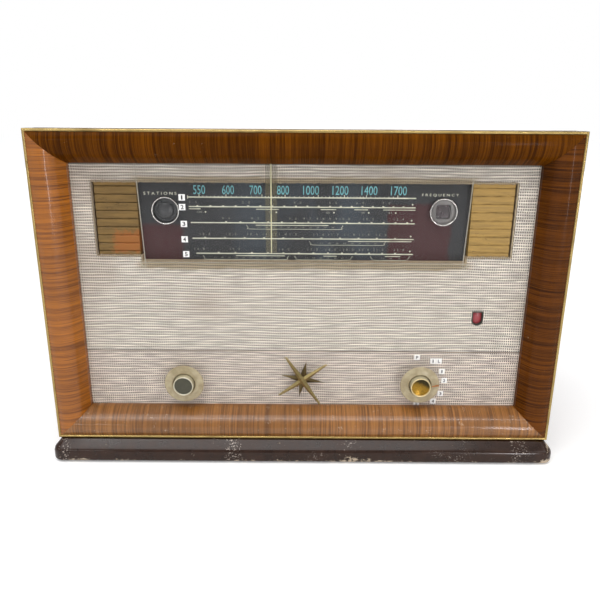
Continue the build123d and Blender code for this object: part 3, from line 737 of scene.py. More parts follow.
@dataclass(frozen=True)
class GoldFoil(Finish):
    """Gold-anodised ribbed plate, streaked along the ribs, with a stain in one corner."""

    stain: Colour = (0.39, 0.125, 0.025)
    stain_low: tuple[float, float, float] = (0.0, 0.0, 0.0)
    stain_high: tuple[float, float, float] = (0.0, 0.0, 0.0)
    # strength of the painted shade in each groove
    groove: float = 0.8
    first: float = 0.2309
    pitch: float = 0.008444

    def paint(self, graph: Graph, shader: bpy.types.Node) -> None:
        """Streaks along x, painted shade as a dark line at each groove, then the stain in a soft-edged box.
        """
        place = graph.coords()
        streak = graph.noise(graph.coords(scale=(30.0, 300.0, 420.0)), 1.0, 4.0, 0.65)
        tone = graph.mix(graph.band(streak, 0.3, 0.7), tuple(0.62 * c for c in self.colour), self.colour)
        wobble = graph.times(graph.minus(graph.noise(place, 110.0, 4.0, 0.7), 0.5), 0.026)
        inside: Socket | float = 0.72
        for name, low, high in zip("XZ", self.stain_low[::2], self.stain_high[::2]):
            value = graph.plus(graph.axis(place, name), wobble)
            inside = graph.times(inside, graph.band(value, low - 0.004, low + 0.004))
            inside = graph.times(inside, graph.band(value, high + 0.004, high - 0.004))
        worn = graph.group(shared_effect(Effect.WEAR), Vector=graph.coords(scale=(60.0, 60.0, 160.0)),
                           Amount=0.40)
        colour = graph.mix(graph.times(worn.outputs["Mask"], 0.6), tone,
                           tuple(0.25 * c for c in self.colour))
        rib = graph.times(graph.minus(graph.axis(place, "Z"), self.first), math.pi / self.pitch)
        # painted shade: a dark line at each groove, darkened to a tenth of the gold below
        line = graph.band(graph.math("ABSOLUTE", graph.math("SINE", rib)), 0.20, 0.06, (0.0, self.groove))
        patchy = graph.band(graph.noise(graph.coords(scale=(90.0, 1.0, 240.0)), 1.0, 2.0), 0.30, 0.52)
        line = graph.times(line, graph.math("MAXIMUM", patchy, self.groove))
        colour = graph.mix(line, colour, tuple(0.10 * c for c in self.colour))
        graph.feed(shader.inputs["Base Color"], graph.mix(inside, colour, self.stain))
        graph.feed(shader.inputs["Roughness"], graph.band(streak, 0.3, 0.7, (self.rough, self.rough + 0.2)))
        graph.feed(shader.inputs["Normal"], graph.bump(streak, 0.0001))


@dataclass(frozen=True)
class RibbedCloth(Finish):
    """Slubby ribbed speaker cloth; its UV map counts ribs and warp threads."""

    shade: Colour = (0.055, 0.040, 0.032)
    soil: Colour = (0.46, 0.36, 0.28)
    glue: Colour = (0.40, 0.31, 0.17)
    shaded: Colour = (0.085, 0.066, 0.064)
    strips: tuple[tuple[float, float], ...] = ()
    seam: float = -1.0
    shadow: float = 9.0

    def paint(self, graph: Graph, shader: bpy.types.Node) -> None:
        """Pale ribs, dark gaps, slubs and soiling, with shade at the seam and along the top."""
        weave = graph.group(shared_effect(Effect.WEAVE), Vector=graph.coords("UV"))
        slub = weave.outputs["Slub"]
        thread = graph.mix(graph.band(slub, 0.32, 0.66), tuple(0.60 * c for c in self.colour), self.colour)
        soil = graph.noise(graph.coords(scale=(7.0, 7.0, 11.0)), 1.0, 3.0)
        thread = graph.mix(graph.band(soil, 0.50, 0.80, (0.0, 0.55)), thread, self.soil)
        place = graph.coords()
        ragged = graph.times(graph.minus(graph.noise(place, 60.0, 3.0), 0.5), 0.006)
        height = graph.plus(graph.axis(place, "Z"), ragged)
        centre = graph.band(graph.math("ABSOLUTE", graph.axis(place, "X")), 0.180, 0.168)
        for low, high in self.strips:
            inside = graph.times(graph.band(height, low - 0.002, low + 0.001),
                                 graph.band(height, high + 0.001, high - 0.002))
            inside = graph.times(graph.times(inside, centre), 0.75)
            thread = graph.mix(inside, thread, self.glue)
        level = graph.axis(place, "Z")
        near = graph.band(graph.apart(level, self.seam), 0.0013, 0.0005, (0.0, 0.75))
        deep = graph.band(level, self.shadow - 0.0014, self.shadow + 0.0012, (0.0, 0.85))
        thread = graph.mix(graph.math("MAXIMUM", near, deep), thread, self.shaded)
        gap = graph.times(weave.outputs["Gap"], 0.97)
        graph.feed(shader.inputs["Base Color"], graph.mix(gap, thread, self.shade))
        graph.feed(shader.inputs["Roughness"], graph.band(slub, 0.3, 0.7, (0.78, 0.95)))
        graph.feed(shader.inputs["Normal"], graph.bump(weave.outputs["Height"], 0.00035))


@dataclass(frozen=True)
class DialPaint(Finish):
    """Slate dial paint with a painted reflection, a cooler tone, in its middle and two faded red-brown
    panels.
    """

    # cooler colour of the painted reflection in the middle of the plate
    haze_and_reflection: Colour = (0.062, 0.080, 0.100)
    faded: Colour = (0.064, 0.016, 0.017)
    grit: Colour = (0.11, 0.10, 0.095)
    panels: tuple[tuple[float, float, float, float], ...] = ()

    def paint(self, graph: Graph, shader: bpy.types.Node) -> None:
        """Slate to the painted reflection's cooler colour by distance from the middle, then each panel (x0,
        x1, z0, z1) with a ragged edge.
        """
        place = graph.coords()
        across, height = graph.axis(place, "X"), graph.axis(place, "Z")
        ragged = graph.times(graph.minus(graph.noise(place, 75.0, 3.0), 0.5), 0.010)
        # painted reflection: the middle of the plate turns to the cooler colour, as the glass reflects there
        middle = graph.band(graph.math("ABSOLUTE", graph.plus(across, -0.004)), 0.115, 0.02)
        cloud = graph.noise(graph.coords(scale=(22.0, 22.0, 10.0)), 1.0, 2.0)
        colour = graph.mix(graph.times(middle, graph.band(cloud, 0.32, 0.60)), self.colour, self.haze_and_reflection)
        for x0, x1, z0, z1 in self.panels:
            a = graph.plus(across, ragged)
            b = graph.plus(height, ragged)
            inside: Socket | float = 1.0
            for value, low, high in ((a, x0, x1), (b, z0, z1)):
                inside = graph.times(inside, graph.band(value, low - 0.003, low + 0.002))
                inside = graph.times(inside, graph.band(value, high + 0.003, high - 0.003))
            colour = graph.mix(inside, colour, self.faded)
        grit = graph.noise(place, 620.0, 4.0, 0.7)
        graph.feed(shader.inputs["Base Color"],
                   graph.mix(graph.band(grit, 0.42, 0.72, (0.0, 0.45)), colour, self.grit))
        graph.feed(shader.inputs["Roughness"], graph.band(grit, 0.3, 0.7, (self.rough, self.rough + 0.2)))
        graph.feed(shader.inputs["Normal"], graph.bump(grit, 0.0001))


@dataclass(frozen=True)
class ClearPart(Finish):
    """Glass or clear plastic, shown by a small share of its own surface over what lies behind."""

    solid: float = 0.12
    # share of dust added to the alpha
    haze_and_reflection: float = 0.0

    def paint(self, graph: Graph, shader: bpy.types.Node) -> None:
        """Alpha rises towards grazing angles and where dust lies."""
        rim = graph.node("LayerWeight")
        rim.inputs["Blend"].default_value = 0.25
        dust = graph.noise(graph.coords(), 40.0, 5.0, 0.7)
        alpha = graph.plus(self.solid, graph.times(rim.outputs["Fresnel"], 0.12))
        alpha = graph.plus(alpha, graph.band(dust, 0.5, 0.8, (0.0, self.haze_and_reflection)), clamp=True)
        graph.feed(shader.inputs["Alpha"], alpha)
        graph.feed(shader.inputs["Roughness"], graph.band(dust, 0.4, 0.8, (self.rough, self.rough + 0.15)))


@dataclass(frozen=True)
class MouldedPlastic(Finish):
    """Old cream or amber plastic: cloudy inside, rubbed on its rims."""

    cloud: Colour = (0.4, 0.35, 0.2)
    alpha: float = 1.0

    def paint(self, graph: Graph, shader: bpy.types.Node) -> None:
        """Two-colour clouding, fine crazing in the surface."""
        place = graph.coords()
        cloudy = graph.noise(place, 110.0, 3.0)
        craze = graph.noise(place, 800.0, 4.0, 0.7)
        graph.feed(shader.inputs["Base Color"],
                   graph.mix(graph.band(cloudy, 0.3, 0.7), self.cloud, self.colour))
        graph.feed(shader.inputs["Roughness"],
                   graph.band(craze, 0.3, 0.7, (self.rough * 0.8, self.rough * 1.4)))
        graph.feed(shader.inputs["Normal"], graph.bump(craze, 0.00006))
        if self.alpha < 1.0:
            graph.feed(shader.inputs["Alpha"],
                       graph.band(cloudy, 0.2, 0.8, (self.alpha - 0.08, self.alpha + 0.08)))


# ---- pieces ----
class Facing(Enum):
    """Which way a piece's faces are turned when it is made."""

    OUTWARDS = "outwards"
    FRONT = "front"


@dataclass(frozen=True)
class Maker:
    """Turns surfaces into Blender pieces that ride on CAD bodies."""

    datum: Datum

    def piece(self, name: str, surface: Surface, finishes: Sequence[Finish] | Finish, body: str = "set",
              replaces: Sequence[str] = (), slot: Optional[str] = None, facing: Facing = Facing.OUTWARDS,
              crease: float = 38.0) -> bpy.types.Object:
        """Builds one piece.

        Args:
            name: the piece's name.
            surface: its surface in set millimetres.
            finishes: one finish, or one for each slot number.
            body: the CAD body it rides on.
            replaces: CAD nodes it stands for.
            slot: the record's material slot; not used.
            facing: how to turn its faces.
            crease: faces that meet at more than this angle, in degrees, keep a sharp edge.

        Returns:
            The new object.
        """
        mesh = bpy.data.meshes.new(name)
        points = self.datum.place(surface.points)
        mesh.vertices.add(len(points))
        mesh.vertices.foreach_set("co", points.astype(np.float32).ravel())
        mesh.loops.add(len(surface.loops))
        mesh.loops.foreach_set("vertex_index", surface.loops.astype(np.int32))
        mesh.polygons.add(len(surface.counts))
        starts = np.concatenate([[0], np.cumsum(surface.counts)[:-1]])
        mesh.polygons.foreach_set("loop_start", starts.astype(np.int32))
        mesh.polygons.foreach_set("material_index", surface.slots.astype(np.int32))
        if surface.uv is not None:
            layer = mesh.uv_layers.new(name="UVMap")
            layer.data.foreach_set("uv", surface.uv[surface.loops].astype(np.float32).ravel())
        mesh.update(calc_edges=True)
        self.tidy(mesh, facing)
        mesh.polygons.foreach_set("use_smooth", np.ones(len(mesh.polygons), bool))
        mesh.set_sharp_from_angle(angle=math.radians(crease))
        for finish in [finishes] if isinstance(finishes, Finish) else finishes:
            mesh.materials.append(finish.material())
        made = bpy.data.objects.new(name, mesh)
        bpy.context.scene.collection.objects.link(made)
        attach(made, body)
        if replaces:
            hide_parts(*replaces)
        LOG.info("%s: %d faces on %s", name, len(mesh.polygons), body)
        return made

    @staticmethod
    def tidy(mesh: bpy.types.Mesh, facing: Facing) -> None:
        """Welds doubled points, drops faces with no area and turns the faces the right way."""
        work = bmesh.new()
        work.from_mesh(mesh)
        bmesh.ops.remove_doubles(work, verts=work.verts, dist=1e-6)
        bmesh.ops.dissolve_degenerate(work, edges=work.edges, dist=1e-7)
        if facing is Facing.OUTWARDS:
            bmesh.ops.recalc_face_normals(work, faces=work.faces)
        else:
            turned_back = [f for f in work.faces if f.normal.y > 0]
            bmesh.ops.reverse_faces(work, faces=turned_back)
        work.to_mesh(mesh)
        work.free()

    @staticmethod
    def dress(finish: Finish, *nodes: str) -> None:
        """Gives CAD nodes that stay a finish."""
        for name in nodes:
            target = bpy.data.objects[name].data.materials
            target.clear()
            target.append(finish.material())
            LOG.info("%s: dressed in %s", name, finish.name)


# ---- the finishes of this set ----
VENEER_ACROSS = (400.0, 6.0, 4.5)
VENEER_UP = (4.5, 6.0, 400.0)
CLOTH = RibbedCloth("speaker_cloth", (0.93, 0.85, 0.74), 0.9)
FRAYED = RibbedCloth("frayed_edge", (0.62, 0.50, 0.33), 0.95)
CONTROL_CLOTH = RibbedCloth("control_strip_cloth", (0.90, 0.79, 0.69), 0.9, soil=(0.60, 0.43, 0.34))
BRASS = AgedMetal("aged_brass", (0.46, 0.33, 0.12), 0.30, 0.85, tarnish_and_shade=(0.13, 0.085, 0.03))
STAR_BRASS = AgedMetal("dull_star_brass", (0.40, 0.31, 0.13), 0.32, 0.85, tarnish_and_shade=(0.07, 0.05, 0.02))
BRONZE = AgedMetal("dark_bronze", (0.16, 0.12, 0.055), 0.42, 0.9, tarnish_and_shade=(0.04, 0.03, 0.015), patches=0.45)
CHROME = AgedMetal("dulled_chrome", (0.78, 0.77, 0.74), 0.16, 1.0, tarnish_and_shade=(0.30, 0.28, 0.26), patches=0.36)
STEEL = AgedMetal("zinc_steel", (0.55, 0.54, 0.52), 0.38, 1.0, tarnish_and_shade=(0.20, 0.17, 0.14))
ALLOY = AgedMetal("dull_alloy", (0.70, 0.70, 0.69), 0.40, 1.0, tarnish_and_shade=(0.34, 0.33, 0.31))
PLY = Veneer("plywood", (0.52, 0.38, 0.22), 0.75, dark=(0.33, 0.22, 0.12), scale=(9.0, 60.0, 90.0),
             speck=0.2)
HARDBOARD = Finish("hardboard", (0.23, 0.135, 0.075), 0.8)
OXBLOOD = ChippedPaint("oxblood_stain", (0.034, 0.013, 0.006), 0.24, coat=0.5, specular=0.15)
FELT = Finish("felt", (0.10, 0.085, 0.075), 0.95)
DIAL_PAINT = DialPaint("dial_paint", (0.036, 0.037, 0.040), 0.6, specular=0.25)
PRINT_CREAM = Finish("cream_print", (0.80, 0.80, 0.62), 0.6)
PRINT_TEAL = Finish("teal_print", (0.22, 0.58, 0.62), 0.6)
PRINT_DIM = Finish("faded_print", (0.33, 0.34, 0.28), 0.6)
TAB_WHITE = Finish("white_tab", (1.0, 0.99, 0.97), 0.6, mottle=0.96)
TAB_INK = Finish("black_ink", (0.02, 0.02, 0.022), 0.6)
GLASS = ClearPart("dial_glass_clear", (0.30, 0.34, 0.36), 0.06, solid=0.012, haze_and_reflection=0.03)
GLASS_EDGE = ClearPart("ground_glass_edge", (0.78, 0.74, 0.62), 0.35, solid=0.55, haze_and_reflection=0.2)
POINTER_CLEAR = ClearPart("pointer_celluloid", (0.34, 0.28, 0.12), 0.25, solid=0.13, haze_and_reflection=0.08)
NEEDLE = Finish("needle_paint", (0.86, 0.82, 0.52), 0.5)
KNOB_AMBER = MouldedPlastic("knob_ring_plastic", (0.54, 0.46, 0.29), 0.36, coat=0.25,
                            cloud=(0.42, 0.34, 0.19),
                            alpha=0.72)
KNOB_CREAM = MouldedPlastic("knob_cream_plastic", (0.80, 0.76, 0.62), 0.30, coat=0.4,
                            cloud=(0.60, 0.55, 0.40))
KNOB_DRUM = MouldedPlastic("knob_drum_plastic", (0.56, 0.51, 0.35), 0.35, coat=0.2, cloud=(0.44, 0.39, 0.25))
RIM_BRASS = AgedMetal("rim_brass", (0.86, 0.72, 0.42), 0.35, 0.55, tarnish_and_shade=(0.40, 0.28, 0.10), patches=0.34)
KNOB_RECESS = Finish("knob_recess", (0.075, 0.072, 0.046), 0.6)
INDICATOR = Finish("indicator_paint", (0.42, 0.12, 0.015), 0.5)
LENS = Finish("dark_lens", (0.060, 0.060, 0.062), 0.32, coat=0.15)
WINDOW = Finish("indicator_window", (0.035, 0.016, 0.018), 0.18, coat=0.5)
PILOT_RIM = Finish("pilot_rim", (0.055, 0.062, 0.050), 0.4)
PILOT_RED = MouldedPlastic("pilot_red", (0.105, 0.014, 0.003), 0.55, specular=0.03,
                           cloud=(0.030, 0.007, 0.003))
WINDOW_MASK = AgedMetal("window_mask", (0.22, 0.21, 0.20), 0.42, 0.5, tarnish_and_shade=(0.10, 0.09, 0.09))
RUBBER = Finish("black_rubber", (0.022, 0.022, 0.022), 0.7)
PHENOLIC = MouldedPlastic("brown_phenolic", (0.20, 0.085, 0.035), 0.4, cloud=(0.11, 0.045, 0.02))
PAPER = Finish("cone_paper", (0.055, 0.05, 0.045), 0.9)
VALVE_GLASS = ClearPart("valve_glass", (0.55, 0.58, 0.58), 0.08, solid=0.45, haze_and_reflection=0.2)
CORD = Finish("waxed_cord", (0.42, 0.34, 0.20), 0.85)
TRANSFORMER = Finish("transformer_iron", (0.07, 0.065, 0.06), 0.5, 0.5)
FLOOR = StudioFloor("studio_floor", (0.96, 0.96, 0.96), 0.9, specular=0.1, mottle=0.995)


class Side(Enum):
    """The four sides of the front frame."""

    TOP = "frame_top_rail"
    BOTTOM = "frame_bottom_rail"
    LEFT = "frame_left_stile"
    RIGHT = "frame_right_stile"


# ---- front frame and case ----
@dataclass
class FrontFrame:
    """The bolection moulding, mitred at its corners, with cross-banded veneer."""

    maker: Maker
    width: float = 540.0
    height: float = 330.0
    crown: tuple[tuple[float, float], ...] = ((2.5, -0.3), (8, -2.4), (14, -2.5), (20, -0.3), (26, 4.6),
                                              (33, 16.2))
    rebate: float = 14.0
    lower: float = 30.6
    back: float = 31.9
    samples: int = 90

    def section(self, lip: float, inner: float) -> Array:
        """Closed (t, depth) outline: the crown's smooth curve, then the lip, the rebate and the outer edge.

        Args:
            lip: depth of the lip's rear face.
            inner: width of the moulding.

        Returns:
            (n, 2) points.
        """
        crown = smooth_curve(self.crown, 9)
        edge, full = self.crown[0][0], self.crown[-1][0]
        crown[:, 0] = edge + (crown[:, 0] - edge) * (inner - edge) / (full - edge)
        rest = np.array([(inner, lip), (self.rebate, lip), (self.rebate, self.back), (0.05, self.back),
                         (0.05, 6.2), (2.5, 6.2)])
        return np.vstack([crown, rest])

    def rail(self, side: Side) -> Surface:
        """One side: x = u (half - t) along the rail and t inwards, with a slow wave of a tenth of a
        millimetre.

        Args:
            side: which side.

        Returns:
            A closed surface with mitred ends.
        """
        upright = side in (Side.LEFT, Side.RIGHT)
        half, other = (self.height, self.width) if upright else (self.width, self.height)
        full = self.crown[-1][0]
        section = self.section(17.0 if side is Side.TOP else 22.3,
                               self.lower if side is Side.BOTTOM else full)
        u = np.linspace(-1.0, 1.0, self.samples)[None, :]
        t, d = section[:, :1], section[:, 1:]
        narrow = self.lower / full
        run = u * (half / 2 - (t / narrow if side is Side.BOTTOM else t))
        if side is Side.LEFT:
            run = np.where(u < 0, u * (half / 2 - t * narrow), run)
        if side is Side.RIGHT:
            run = np.where(u > 0, u * (half / 2 - t * narrow), run)
        crown = np.clip(-d / 2.5, 0.0, 1.0)
        wave = 0.10 * np.sin(run * 0.043 + t * 0.3) + 0.06 * np.sin(run * 0.117 + 2.0)
        depth = d + crown * wave
        out = other / 2 - t + 0 * u
        middle = self.height / 2
        places = {Side.TOP: (run, middle + out), Side.BOTTOM: (-run, middle - out),
                  Side.LEFT: (-out, middle + run), Side.RIGHT: (out, middle - run)}
        x, h = places[side]
        points = np.stack([x, depth + 0 * u, h], axis=-1).reshape(-1, 3)
        n = len(section)
        ends = np.stack([np.arange(n) * self.samples, np.arange(n) * self.samples + self.samples - 1])
        return Surface.of(points, grid_quads(n, self.samples, True, False), ends)

    def build(self) -> None:
        """Makes the four rails, each side's veneer painted lighter or darker as light and shade, and dresses
        the brass edge.
        """
        # painted light and shade: the rails are one veneer, but the top and right rails are painted darker
        # and the left stile and bottom rail lighter, with more gloss where highlights fall
        painted_light_tones = {Side.TOP: ((0.120, 0.036, 0.0010), (0.040, 0.0105, 0.0004), 0.03),
                 Side.BOTTOM: ((0.28, 0.115, 0.025), (0.125, 0.046, 0.009), 0.45),
                 Side.LEFT: ((0.385, 0.122, 0.006), (0.155, 0.042, 0.002), 0.38),
                 Side.RIGHT: ((0.130, 0.037, 0.0020), (0.032, 0.0085, 0.0006), 0.08)}
        for side, (light, dark, gloss) in painted_light_tones.items():
            scale = VENEER_UP if side in (Side.LEFT, Side.RIGHT) else VENEER_ACROSS
            finish = Veneer(f"veneer_{side.name.lower()}", light, 0.32, coat=gloss, specular=gloss,
                            dark=dark,
                            scale=scale, speck=0.40 if side is Side.BOTTOM else 0.34)
            name = side.value.replace("rail", "moulding").replace("stile", "moulding")
            self.maker.piece(name, self.rail(side), finish, replaces=(side.value,), slot="veneer", crease=30)
        self.maker.dress(BRASS, "brass_edge_trim")


@dataclass
class Plinth:
    """The bullnosed plinth: front, two sides and a rear rail."""

    maker: Maker
    half_front: float = 276.0
    half_back: float = 265.0
    nose: float = -12.0
    tail: float = 230.0
    corner: float = 10.5
    rail: float = 26.0
    low: float = -23.0
    high: float = -0.7
    slope: float = 9.5
    nose_round: float = 8.0
    round_low: float = 2.5
    arc_steps: int = 12

    def section(self) -> Array:
        """Closed (inset, height) outline: a 45 degree slope, a round nose, an upright face and a rounded
        foot.

        Returns:
            (n, 2) points, from the top of the slope down to the foot, then up the inner face.
        """
        tilt = np.linspace(math.pi / 4, 0.0, 10)
        middle = self.high - self.slope - self.nose_round * math.tan(math.pi / 8)
        nose = np.stack([self.nose_round * (1 - np.cos(tilt)), middle + self.nose_round * np.sin(tilt)],
                        axis=1)
        fall = np.linspace(0.0, 1.0, 6, endpoint=False)[:, None]
        top = np.vstack([(1 - fall) * np.array([[self.slope, self.high]]) + fall * nose[:1], nose])
        a = np.linspace(0.0, math.pi / 2, 10)
        foot = np.stack([self.round_low * (1 - np.cos(a)), self.low + self.round_low * (1 - np.sin(a))],
                        axis=1)
        inner = np.array([(self.rail, self.low), (self.rail, self.high)])
        return np.vstack([top, foot, inner])

    def plan(self) -> tuple[Array, Array]:
        """Outer and inner edges in plan, point for point: back-left, round the front corners, back-right.

        Returns:
            Two (n, 2) arrays of x and depth.
        """
        lean = (self.half_front - self.half_back) / (self.tail - self.nose)
        steps = np.linspace(0.0, math.pi / 2, self.arc_steps)
        reach = self.tail - self.rail
        side_d = np.concatenate([[self.tail],
                                 np.linspace(reach, self.nose + self.corner, 23, endpoint=False)])
        side = np.stack([-(self.half_front - lean * (side_d - self.nose)), side_d], axis=1)
        arc = np.stack([lean * self.corner - self.half_front + self.corner * (1 - np.cos(steps)),
                        self.nose + self.corner * (1 - np.sin(steps))], axis=1)
        front = np.linspace(arc[-1, 0], 0.0, 24)[1:]
        left = np.vstack([side, arc, np.stack([front, np.full_like(front, self.nose)], axis=1)])
        inner_x = np.where(left[:, 1] > self.nose + self.rail, left[:, 0] + self.rail,
                           np.maximum(left[:, 0], -(self.half_front - self.rail)))
        inner_d = np.clip(left[:, 1], self.nose + self.rail, reach)
        inner = np.stack([inner_x, inner_d], axis=1)
        mirror = np.array([-1.0, 1.0])
        return np.vstack([left, left[-2::-1] * mirror]), np.vstack([inner, inner[-2::-1] * mirror])

    def run(self, first: int, last: int) -> Surface:
        """One piece between two plan points: inner + (outer - inner)(1 - inset / length), at the section's
        height.

        Args:
            first: first plan point.
            last: last plan point, included.

        Returns:
            A closed surface.
        """
        outer, inner = (e[first:last + 1] for e in self.plan())
        section = self.section()
        reach = np.linalg.norm(outer - inner, axis=1)[None, :]
        slant = np.where(reach > self.rail * 1.3, reach / math.sqrt(2.0), reach)
        share = np.where(section[:, :1] >= self.rail, 0.0, 1 - section[:, :1] / slant)
        flat = inner[None] + (outer - inner)[None] * share[..., None]
        height = section[:, 1:] + 0 * share
        points = np.stack([flat[..., 0], flat[..., 1], height], axis=-1).reshape(-1, 3)
        n, cols = len(section), last + 1 - first
        ends = np.stack([np.arange(n) * cols, np.arange(n) * cols + cols - 1])
        return Surface.of(points, grid_quads(n, cols, True, False), ends)

    def build(self) -> None:
        """Makes the front and side pieces, split at the middle of each corner, and dresses the rest."""
        total = len(self.plan()[0])
        corner = 24 + self.arc_steps // 2
        for name, first, last, node in (("plinth_left_side", 0, corner, "plinth_left"),
                                        ("plinth_nose", corner, total - 1 - corner, "plinth_front"),
                                        ("plinth_right_side", total - 1 - corner, total - 1,
                                         "plinth_right")):
            self.maker.piece(name, self.run(first, last), OXBLOOD, replaces=(node,), slot="plinth_stain",
                             crease=30)
        self.maker.dress(OXBLOOD, "plinth_back")
        self.maker.dress(FELT, "felt_feet")


@dataclass
class Case:
    """Cabinet boards, baffle, back cover and what is fixed to it."""

    maker: Maker

    def build(self) -> None:
        """Dresses the boards: polished veneer outside, plain ply inside, hardboard behind."""
        top = Veneer("veneer_case_top", (0.27, 0.115, 0.042), 0.13, coat=0.9, dark=(0.085, 0.032, 0.012),
                     scale=(12.0, 120.0, 60.0), speck=0.36)
        sides = Veneer("veneer_case_sides", (0.25, 0.105, 0.038), 0.22, coat=0.5, dark=(0.075, 0.028, 0.011),
                       scale=(60.0, 110.0, 11.0), speck=0.36)
        self.maker.dress(top, "cabinet_top")
        self.maker.dress(sides, "cabinet_left_side", "cabinet_right_side", "cabinet_bottom")
        self.maker.dress(PLY, "baffle_board")
        self.maker.dress(HARDBOARD, "back_cover")
        self.maker.dress(STEEL, "back_screws", "rear_sockets")
        self.maker.dress(PHENOLIC, "socket_panel")
        self.maker.dress(RUBBER, "mains_grommet")


